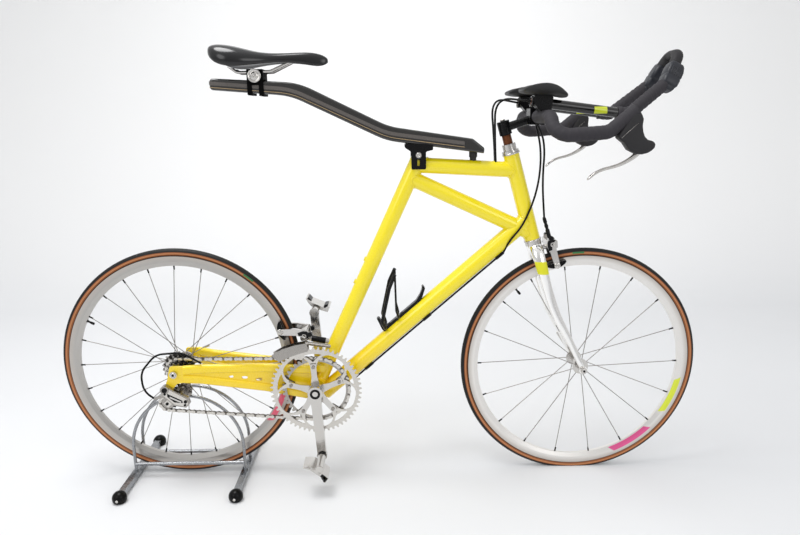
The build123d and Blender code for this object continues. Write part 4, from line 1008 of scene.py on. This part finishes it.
# Wheel trim: nipples and valves
WHEELS = [
    # body, hub, spokes, valve angle
    ("front_wheel", FRONT_HUB, 18, math.radians(130)), ("rear_wheel", REAR_HUB, 24, math.radians(153)),
]
NIPPLE = [(0, 0.0013), (0.001, 0.0019), (0.0115, 0.0021)]
VALVE = [
    (0, 0.0042), (0.002, 0.0042), (0.0022, 0.0026), (0.010, 0.0026), (0.0102, 0.0033), (0.019, 0.0033),
    (0.020, 0.0020),
]


def wheel_trim():
    for body, hub, count, valve in WHEELS:
        build = Build()
        for i in range(count):
            out = spoke_way(TURN * i / count)
            y = Y_OUT * (0.001 if i % 2 else -0.001)
            build.lathe(hub + y + out * (RIM_INNER_R - 0.011), out, NIPPLE, 10)
        build.piece(body + "_nipples", "black_metal", body, "spoke_steel")
        out = spoke_way(valve)
        stem = Build().lathe(hub + out * (RIM_INNER_R + 0.0005), -out, VALVE, 14)
        stem.piece(body + "_valve", "black_metal", body, "spoke_steel")


# Cable housings that cross the steering
CABLE_R = 0.0025
DOWN_UNDER = -DOWN_R - CABLE_R


def housing(points):
    return tube_rings(eased_path(points), lambda travelled, angle: CABLE_R, 12)


def on_down(share, up, y):
    """A point along the down tube's line, above it and across from it."""
    along = (DOWN_FRONT - DOWN_REAR).normalized()
    return DOWN_REAR.lerp(DOWN_FRONT, share) + Vector((-along.z, 0, along.x)) * up + Y_OUT * y


def steering_cables():
    stop = TOP_REAR.lerp(TOP_FRONT, 0.8)
    lines = []
    for name, side in (("shift_line_right", RIGHT), ("shift_line_left", LEFT)):
        lines.append((name, [
            at_bar(-27, side * 78, 34), at_bar(-104, side * 30, 46), at_bar(-98, side * 9, -50),
            stop + Vector((0, side * 0.007, 0.016)),
        ]))
    lines.append(("gear_line", [
        at_bar(8, 34, -12), at_bar(22, 14, -84), head(HEAD_TOP_S - 0.100, 0.040, -0.016),
        head(HEAD_LOW_S + 0.046, -0.016, -0.0275), on_down(0.90, -0.006, -0.026),
        on_down(0.858, DOWN_UNDER, -0.006),
    ]))
    for name, points in lines:
        build = Build().ring_stack(housing(points))
        piece = mesh_piece(name, build.verts, build.faces, MATERIALS["cable_housing"], None)
        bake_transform(piece)
        if name == "gear_line":
            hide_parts("steer_cables")


BRAKE_BOOT = [
    (-0.004, 0.0028), (0.0, 0.0044), (0.010, 0.0046), (0.011, 0.0038), (0.016, 0.0038), (0.017, 0.0047),
    (0.022, 0.0047), (0.023, 0.0038), (0.028, 0.0038), (0.029, 0.0050),
]


def front_brake_line():
    adjuster = head(CROWN_S + 0.060, 0.037, -0.022)
    boot = head(CROWN_S + 0.008, 0.038, -0.024) - adjuster
    line = [at_bar(-6, -34, -10), at_bar(20, -28, -60), head(CROWN_S + 0.150, 0.054, -0.020), adjuster]
    build = Build().ring_stack(housing(line))
    build.lathe(adjuster, boot, BRAKE_BOOT + [(boot.length - 0.004, 0.0050), (boot.length, 0.0036)], 20)
    build.piece("front_brake_line", "cable_housing", "steering", "cable_housing", "brake_cable_front")


# Brazed fillets where tubes meet
JOINTS = [
    # tube from, tube to, tube radius, other tube's point, other tube's direction, its radius
    (TOP_FRONT, TOP_REAR, TUBE_R, CLUSTER, SEAT_UP, SEAT_R),
    (TOP_REAR, TOP_FRONT, TUBE_R, HUB_LEVEL, HEAD_UP, SEAT_R),
    (DIAG_FRONT, DIAG_REAR, TUBE_R, CLUSTER, SEAT_UP, SEAT_R),
    (DIAG_REAR, DIAG_FRONT, TUBE_R, HUB_LEVEL, HEAD_UP, SEAT_R),
    (DOWN_REAR, DOWN_FRONT, DOWN_R, HUB_LEVEL, HEAD_UP, SEAT_R),
    (CLUSTER, CRANK, SEAT_R, CRANK, Y_OUT, SHELL_R),
]
FILLET_R = 0.0022
FILLET_SIDES = 8
FILLET_TURNS = 56


def brazed_fillets():
    build = Build()
    for start, end, r, point, direction, other_r in JOINTS:
        run = (end - start).normalized()
        side = run.orthogonal().normalized()
        other = run.cross(side)
        ring_start = len(build.verts)
        for k in range(FILLET_TURNS):
            a = TURN * k / FILLET_TURNS
            out = side * math.cos(a) + other * math.sin(a)
            origin = start + out * r
            flat_run = run - direction * run.dot(direction)
            gap = origin - point
            flat_gap = gap - direction * gap.dot(direction)
            qa = flat_run.length_squared
            qb = 2 * flat_run.dot(flat_gap)
            qc = flat_gap.length_squared - other_r ** 2
            inner = max(qb * qb - 4 * qa * qc, 0.0)
            hit = origin + run * ((-qb - math.sqrt(inner)) / (2 * qa))
            build.verts.extend(circle(hit, out, -run, FILLET_SIDES, lambda a: FILLET_R))
        for k in range(FILLET_TURNS):
            here = ring_start + k * FILLET_SIDES
            ahead = ring_start + (k + 1) % FILLET_TURNS * FILLET_SIDES
            for j in range(FILLET_SIDES):
                m = (j + 1) % FILLET_SIDES
                build.faces.append((here + j, ahead + j, ahead + m, here + m))
    build.piece("brazed_fillets", "frame_paint", "frame", "frame_paint")


# Cranks: outer ring, bolts and caps
CRANK_LEAN = math.radians(3.8)
CRANK_LENGTH = 0.1725
ARMS = 5
ARM_STEP = 72


def crank_point(length, turn, y):
    """A point along a spoke of the crankset, turned in degrees from the right crank."""
    a = CRANK_LEAN + math.radians(turn)
    return Vector((CRANK.x + length * math.sin(a), y, CRANK.z - length * math.cos(a)))


OUTER_TEETH = 56
OUTER_PITCH_R = OUTER_TEETH * PITCH / TURN
OUTER_RING_Y = (-0.0507, -0.0483)
BOSS_R = 0.0585
BAND_R = OUTER_PITCH_R - 0.0108
ARM_GAP = [
    # radius, degrees from the arm's middle
    (0.077, 0), (0.083, 4), (0.090, 8.6), (0.0965, 13.2), (0.0985, 13.2), (0.0995, 9), (0.0998, 0),
]


def outer_ring():
    window = []
    for k in range(360):
        away = abs((k + ARM_STEP // 2) % ARM_STEP - ARM_STEP // 2)
        t = min(max((away - 6.5) / 22.0, 0.0), 1.0)
        r = BOSS_R + (BAND_R - BOSS_R) * math.sqrt(1 - (1 - t) ** 2)
        window.append(crank_point(r, 180 + k, 0))
    teeth = teeth_loop(CRANK, OUTER_TEETH, OUTER_PITCH_R - 0.0036, OUTER_PITCH_R + 0.0036, 0.03)
    loops = [teeth, flat(window)]
    gap = ARM_GAP + [(r, -a) for r, a in reversed(ARM_GAP[1:-1])]
    for k in range(ARMS):
        loops.append(flat(crank_point(r, 180 + ARM_STEP * k + a, 0) for r, a in gap))
    build = Build().cut(loops, *OUTER_RING_Y, 0.0004)
    build.piece("ring_outer_face", "ring_metal", "crankset", "silver_metal", "chainring_outer", smooth=False)


CRANK_CAP = [
    (0, 0.0130), (0.0022, 0.0130), (0.0030, 0.0120), (0.0030, 0.0078), (0.0006, 0.0070), (0.0004, 0.0004),
]


def crank_trim():
    bolts = Build()
    for k in range(ARMS):
        bolts.bolt(crank_point(0.065, 180 + ARM_STEP * k, -0.0572), -Y_OUT, 0.0044, 0.0018)
    bolts.piece("ring_bolts", "dull_metal", "crankset", "silver_metal")
    caps = Build()
    for side in SIDES:
        face = Vector((CRANK.x, side * 0.076, CRANK.z))
        caps.lathe(face - Y_OUT * side * 0.001, Y_OUT * side, CRANK_CAP, 32)
    caps.piece("crank_caps", "black_metal", "crankset", "black_metal")


# Pedals: clips, shells and dark rings at the crank ends
PEDALS = [
    # body, side, crank turn, tilt of the platform, +1 where it lies above the axle
    ("pedal_right", RIGHT, 0, -37.0, -1), ("pedal_left", LEFT, 180, -24.0, 1),
]
CLIP_PLATES = [
    # outline along and above the platform, inner and outer level
    ([(17, 15.5), (26, 23.4), (26, 26), (18, 21)], 98, 131),
    ([(-20, 15.4), (-32, 20.8), (-30, 23.6), (-19, 18)], 98, 131),
]
CLIP_CHEEK = ([(13, 7), (32, 9), (31.5, 21), (27, 22), (21, 15), (13, 15)], 139.5, 141.2)
SHELL_PLATES = [
    ([(-35, 19), (-32.5, 20.6), (-18, 15), (-18, 11), (-25, 13)], 139.5, 141.4),
    ([(-14, 7), (10, 7), (10, 15), (-16, 15)], 139.5, 141.0),
]
PEDAL_END = [(0, 0.0094), (0.0016, 0.0094), (0.0024, 0.0080), (0.0026, 0.004)]
PEDAL_DARK_RING = [(0, 0.0096), (0.0018, 0.0098), (0.0052, 0.0090), (0.0060, 0.0062)]


def pedal_trim():
    dark_rings = Build()
    for body, side, turn, tilt, face in PEDALS:
        at = crank_point(CRANK_LENGTH, turn, 0)
        a = math.radians(tilt)

        def on_wing(u, v, y):
            x = u * math.cos(a) - face * v * math.sin(a)
            z = u * math.sin(a) + face * v * math.cos(a)
            return Vector((at.x + x * MM, side * y * MM, at.z + z * MM))

        def wing_plate(build, outline, y0, y1):
            build.plate(flat(on_wing(u, v, 0) for u, v in outline), side * y0 * MM, side * y1 * MM)

        clip = Build()
        for row in CLIP_PLATES:
            wing_plate(clip, *row)
        clip.rod(on_wing(24, 12, 96), on_wing(24, 12, 141.2), 0.0046, 16, 0.001)
        wing_plate(clip, *CLIP_CHEEK)
        clip.piece(body + "_clip", "black_metal", body, "black_metal", smooth=False)
        shell = Build()
        for row in SHELL_PLATES:
            wing_plate(shell, *row)
        for u in (-12, 6):
            shell.bolt(on_wing(u, 11, 141.0), Y_OUT * side, 0.0032, 0.0012)
        shell.lathe(on_wing(0, 0, 139.6), Y_OUT * side, PEDAL_END, 28)
        bevelled(shell.piece(body + "_shell", "silver_metal", body, "silver_metal", smooth=False), 0.0005, 2)
        # A black ring round each pedal axle at the crank end.
        dark_rings.lathe(Vector((at.x, side * 0.0762, at.z)), Y_OUT * side, PEDAL_DARK_RING, 28)
    dark_rings.piece("pedal_dark_rings", "black_rubber", "crankset", "black_metal")


# Brakes: pads, screws and links
def round_wheel(hub, turn, up, along, y):
    """A point up from the tyre's edge and along it, at an angle round the wheel, in metres."""
    a = math.radians(turn)
    r = TYRE_R + up
    x = hub.x + r * math.cos(a) - along * math.sin(a)
    return Vector((x, y, hub.z + r * math.sin(a) + along * math.cos(a)))


REAR_BRAKE_TURN = 14.0
BRAKES = [
    # name, body, hub, angle, pad's place along the tyre
    ("front", "steering", FRONT_HUB, 105.0, 0.0), ("rear", "frame", REAR_HUB, REAR_BRAKE_TURN, 0.026),
]
PAD_PROFILE = [
    # share of the half length, lower edge below the pad's middle
    (-1.0, 0.4), (-0.93, 1.6), (-0.8, 4.2), (-0.62, 6.4), (-0.42, 8.6), (-0.2, 9.0), (0.0, 9.0), (0.2, 9.0),
    (0.42, 8.6), (0.62, 6.4), (0.8, 4.2), (0.93, 1.6), (1.0, 0.4),
]
PAD_HALF_LENGTH = 0.0248
PAD_TOP = 0.0060
PAD_INNER_Y, PAD_EDGE_Y, PAD_OUTER_Y = 0.0146, 0.0232, 0.0246
PAD_EASE = 0.0012
PAD_DROP = 0.028
WASHER_DROP = 0.030
ARM_BOLT_UP = 0.026
PIVOT_UP = 0.0415
PIVOT_IN = 0.0205
PAD_WASHER = [(0, 0.0076), (0.0016, 0.0078), (0.0028, 0.0070), (0.0030, 0.0046)]
BRAKE_LINK = [(0.036, -0.010), (0.038, 0.009), (0.026, 0.013), (0.012, 0.012), (0.013, 0.004), (0.024, 0.002)]
LINK_IN, LINK_OUT = 0.0278, 0.0312


def brake_trim():
    for name, body, hub, turn, along in BRAKES:
        pads, screws, links = Build(), Build(), Build()
        for side in SIDES:
            out = Y_OUT * side
            rings = []
            for share, depth in PAD_PROFILE:
                low = -depth * MM
                top = PAD_TOP - (0.0014 if abs(share) > 0.98 else 0.0)
                corners = (
                    (low, PAD_INNER_Y), (top, PAD_INNER_Y), (top, PAD_EDGE_Y), (top - PAD_EASE, PAD_OUTER_Y),
                    (low + PAD_EASE, PAD_OUTER_Y), (low, PAD_EDGE_Y),
                )
                place = along + share * PAD_HALF_LENGTH
                rings.append([round_wheel(hub, turn, -PAD_DROP + up, place, side * y) for up, y in corners])
            pads.ring_stack(rings)
            foot = round_wheel(hub, turn, -WASHER_DROP, along, side * 0.0275)
            screws.lathe(foot, out, PAD_WASHER, 28)
            screws.bolt(foot + out * 0.0028, out, 0.0044, 0.0030)
            screws.bolt(round_wheel(hub, turn, ARM_BOLT_UP, 0.0, side * 0.028), out, 0.0062, 0.0035)
            points = [round_wheel(hub, turn, up, place, 0) for up, place in BRAKE_LINK]
            links.plate(flat(points), side * LINK_IN, side * LINK_OUT)
            pivot = [round_wheel(hub, turn, PIVOT_UP, 0.0, side * y) for y in (PIVOT_IN, LINK_OUT)]
            links.rod(*pivot, 0.0062, 20, 0.001)
        piece = pads.piece(name + "_brake_pads", "black_rubber", body, "black_rubber", smooth=False)
        bevelled(piece, 0.0006, 2)
        screws.piece(name + "_brake_screws", "silver_metal", body, "silver_metal")
        piece = links.piece(name + "_brake_links", "black_metal", body, "black_metal", smooth=False)
        bevelled(piece, 0.0008, 2)


# Small fittings: sleeve, headset steps, painted highlights on the feet, axle caps, spoke magnet
SEAT_BOSS = CRANK + SEAT_UP * 0.122
SLEEVE_RUN = (0.1, 0.62)
SLEEVE_R = 0.0078
SLEEVE_ROOT = round_wheel(REAR_HUB, REAR_BRAKE_TURN, 0.030135, -0.016037, 0)
HEADSET_STEP = [(0, 0.0207), (0.0006, 0.0218), (0.0040, 0.0218), (0.0046, 0.0207)]
FOOT_R = 0.018
GLINT_Y = 0.1606
FOOT_GLINT = [(0, 0.0036), (0.0008, 0.0034), (0.0011, 0.0026)]
AXLES = [("front_axle", FRONT_HUB, "steering"), ("rear_axle", REAR_HUB, "frame")]
AXLE_CAP = [(0, 0.0072), (0.0012, 0.0070), (0.0022, 0.0058), (0.0024, 0.0034), (0.0010, 0.0030)]
AXLE_CORE = [(0, 0.0031), (0.0018, 0.0031), (0.0020, 0.0022)]
MAGNET_ANGLE = math.radians(120)
MAGNET_ENDS = [(0.106, 0.0195), (0.126, 0.0169)]
MAGNET_R = 0.0032


def hardware():
    ends = [SLEEVE_ROOT.lerp(SEAT_BOSS, share) for share in SLEEVE_RUN]
    sleeve = Build().rod(*ends, SLEEVE_R, 28, 0.0012)
    sleeve.piece("rear_brake_sleeve", "black_metal", "frame", "black_metal")
    steps = Build()
    for s in (HEAD_LOW_S - 0.0048, HEAD_TOP_S + 0.0002):
        steps.lathe(head(s), HEAD_UP, HEADSET_STEP, 48)
    steps.piece("headset_steps", "silver_metal", "frame", "silver_metal")
    low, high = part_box("stand_feet")
    # Small silver discs on the ends of the black feet: a painted highlight on each foot.
    glints = Build()
    for x in (low.x + FOOT_R, high.x - FOOT_R):
        for side in SIDES:
            glints.lathe(Vector((x, side * GLINT_Y, FOOT_R)), Y_OUT * side, FOOT_GLINT, 20)
    glints.piece("foot_glints", "silver_metal", "frame", "silver_metal")
    for node, hub, body in AXLES:
        face = Vector((hub.x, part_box(node)[0].y, hub.z))
        cap = Build().lathe(face, -Y_OUT, AXLE_CAP, 28)
        cap.piece(node + "_cap", "silver_metal", body, "silver_metal")
        core = Build().lathe(face, -Y_OUT, AXLE_CORE, 20)
        core.piece(node + "_cap_core", "black_metal", body, "black_metal")
    out = spoke_way(MAGNET_ANGLE)
    ends = [FRONT_HUB + out * r - Y_OUT * y for r, y in MAGNET_ENDS]
    magnet = Build().rod(*ends, MAGNET_R, 16, 0.001)
    magnet.piece("spoke_magnet", "black_metal", "front_wheel", "black_rubber")


KNOB_CAP = [
    (0, 0.0150), (0.0008, 0.0156), (0.0024, 0.0156), (0.0032, 0.0148), (0.0034, 0.0128), (0.0026, 0.0122),
    (0.0026, 0.0074), (0.0036, 0.0070),
]
QUILL = [(0, 0.0108), (0.0005, 0.0112), (0.0222, 0.0112), (0.0227, 0.0108)]


def small_screws():
    knob = at_cluster(KNOB_X, 0, KNOB_Z)
    fixed = Build()
    for side in SIDES:
        out = Y_OUT * side
        fixed.lathe(knob + out * 0.0326, out, KNOB_CAP, 48)
        fixed.bolt(knob + out * 0.0350, out, 0.0060, 0.0030)
        fixed.bolt(CLUSTER + BEAM_BOLT_RISE + out * 0.030, out, 0.0056, 0.0020)
    fixed.piece("seat_screws", "silver_metal", "frame", "silver_metal")
    turning = Build()
    for y in (-0.013, 0.013):
        for z in (10, -10):
            turning.bolt(at_bar(18, 0, z) + Y_OUT * y, X_OUT, 0.0042, 0.0035)
    turning.bolt(head(HEAD_TOP_S + 0.082), HEAD_UP, 0.0060, 0.0040)
    turning.piece("stem_screws", "dull_metal", "steering", "silver_metal")
    sleeve = Build().lathe(head(HEAD_TOP_S + 0.0262), HEAD_UP, QUILL, 32)
    sleeve.piece("quill_sleeve", "quill_bronze", "steering", "black_metal")


# Beam: a seam along each side, and above it a paler band that is a painted highlight
BEAM_SEAM = [(-487, 172), (-298, 157), (-75, 55), (110, 30)]
BEAM_BEND_R = 0.17
BEAM_SIDE_Y = 0.02502
BEAM_STRIPS = [
    # name, finish, low and high edge from the seam, stand-off
    ("beam_seam", "seam_tan", -0.0006, 0.0006, 0.0004),
    # The paler band is a painted highlight along the upper part of each side of the beam.
    ("beam_sheen_strip", "beam_sheen_paint", 0.0050, 0.0135, 0.0002),
]


def beam_strips():
    path = rounded_path([at_cluster(x, 0, z) for x, z in BEAM_SEAM], BEAM_BEND_R, 0.006)
    for name, finish, low, high, off in BEAM_STRIPS:
        build = Build()
        for side in SIDES:
            y = side * BEAM_SIDE_Y
            corners = ((low, y), (low, y + side * off), (high, y + side * off), (high, y))
            build.ring_stack([[Vector((p.x, at, p.z + rise)) for rise, at in corners] for p in path])
        build.piece(name, finish, "frame", "carbon_laminate", smooth=False)


# Studio: pale floor that curves up behind, soft light from above and in front
SWEEP = [(-6.0, 0.0), (1.6, 0.0), (2.1, 0.06), (2.6, 0.25), (3.0, 0.6), (3.25, 1.1), (3.4, 2.0), (3.4, 6.0)]
SWEEP_HALF_W = 8
FLOOR_GAP = 0.0004
LAMPS = [
    # name, place, target, size, power
    ("key_light", (-0.8, -0.1, 2.7), (-0.2, 0.0, 0.4), 1.3, 40),
    ("fill_right", (1.9, -2.3, 1.6), (0.1, 0, 0.5), 1.6, 13),
    ("fill_left", (-1.8, -2.3, 1.9), (-0.2, 0, 0.5), 1.6, 13),
    ("backdrop_light", (0.0, 1.6, 2.7), (0.0, 3.4, 1.5), 1.8, 12),
]
SKY_COLOUR = (0.99, 0.995, 1.0, 1)
SKY_RISE = (0.0, 0.9, 0.58, 0.92)
DIM_WAY = (0.0, -0.97, 0.243)
SKY_DIM = (0.75, 0.97, 1.0, 0.8)


def studio():
    backdrop = Build()
    for y, z in SWEEP:
        backdrop.verts += [Vector((x, y, z - FLOOR_GAP)) for x in (-SWEEP_HALF_W, SWEEP_HALF_W)]
    for i in range(len(SWEEP) - 1):
        backdrop.faces.append((2 * i, 2 * i + 1, 2 * i + 3, 2 * i + 2))
    pale = Surface("studio_pale", (219, 220, 222), 0.7, vary=0.006, grain=3, relief=0.0)
    # The rising wall is painted paler than the floor: painted light on the backdrop.
    pale.paint(pale.ranged(pale.axis("Y"), 1.4, 3.3, 0.0, 1.0), (253, 253, 253))
    floor = mesh_piece("studio_floor", backdrop.verts, backdrop.faces, pale.material, None)
    subdivided(floor)
    for name, place, target, size, power in LAMPS:
        data = bpy.data.lights.new(name, "AREA")
        data.shape = "DISK"
        data.size = size
        data.energy = power
        lamp = bpy.data.objects.new(name, data)
        lamp.location = place
        lamp.rotation_euler = (Vector(target) - Vector(place)).to_track_quat("-Z", "Y").to_euler()
        bpy.context.scene.collection.objects.link(lamp)


def sky():
    """Pale all round, brighter overhead and a little dimmer on one side."""
    world = bpy.data.worlds.new("studio_world")
    world.use_nodes = True
    s = Nodes(world.node_tree)
    light = s.tree.nodes["Background"]
    light.inputs["Color"].default_value = SKY_COLOUR
    way = s.node("ShaderNodeTexCoord").outputs["Generated"]
    split = s.node("ShaderNodeSeparateXYZ")
    s.join(way, split.inputs[0])
    toward = s.node("ShaderNodeVectorMath")
    toward.operation = "DOT_PRODUCT"
    toward.inputs[1].default_value = DIM_WAY
    s.join(way, toward.inputs[0])
    rise = s.ranged(split.outputs["Z"], *SKY_RISE)
    dim = s.ranged(toward.outputs["Value"], *SKY_DIM)
    s.join(s.both(rise, dim), light.inputs["Strength"])
    bpy.context.scene.world = world


# Camera at the photograph's angle
CAMERA_PLACE = Vector((0.03127, -1.56629, 0.94028))
CAMERA_YAW = math.radians(0.774)
CAMERA_PITCH = math.radians(13.375)
CAMERA_ROLL = math.radians(-0.479)
CAMERA_LENS = 28.578


def camera():
    data = bpy.data.cameras.new("photo_camera")
    data.lens = CAMERA_LENS
    data.sensor_width = 36.0
    data.clip_end = 50
    shot = bpy.data.objects.new("photo_camera", data)
    bpy.context.scene.collection.objects.link(shot)
    level = math.cos(CAMERA_PITCH)
    ahead = Vector((math.sin(CAMERA_YAW) * level, math.cos(CAMERA_YAW) * level, -math.sin(CAMERA_PITCH)))
    across = Vector((math.cos(CAMERA_YAW), -math.sin(CAMERA_YAW), 0))
    up = across.cross(ahead)
    right = across * math.cos(CAMERA_ROLL) + up * math.sin(CAMERA_ROLL)
    top = up * math.cos(CAMERA_ROLL) - across * math.sin(CAMERA_ROLL)
    turned = Matrix((right, top, -ahead)).transposed().to_4x4()
    shot.matrix_world = Matrix.Translation(CAMERA_PLACE) @ turned
    bpy.context.scene.camera = shot


STEPS = (
    dress_nodes, saddle, saddle_clamp, arm_pads, tapes, hoods, levers, pods, bar_ends, chain, sprockets,
    rear_mech, wheel_trim, steering_cables, front_brake_line, brazed_fillets, outer_ring, crank_trim,
    pedal_trim, brake_trim, hardware, small_screws, beam_strips, studio, sky, camera,
)
for make in STEPS:
    make()
bpy.context.scene.view_settings.view_transform = "Standard"
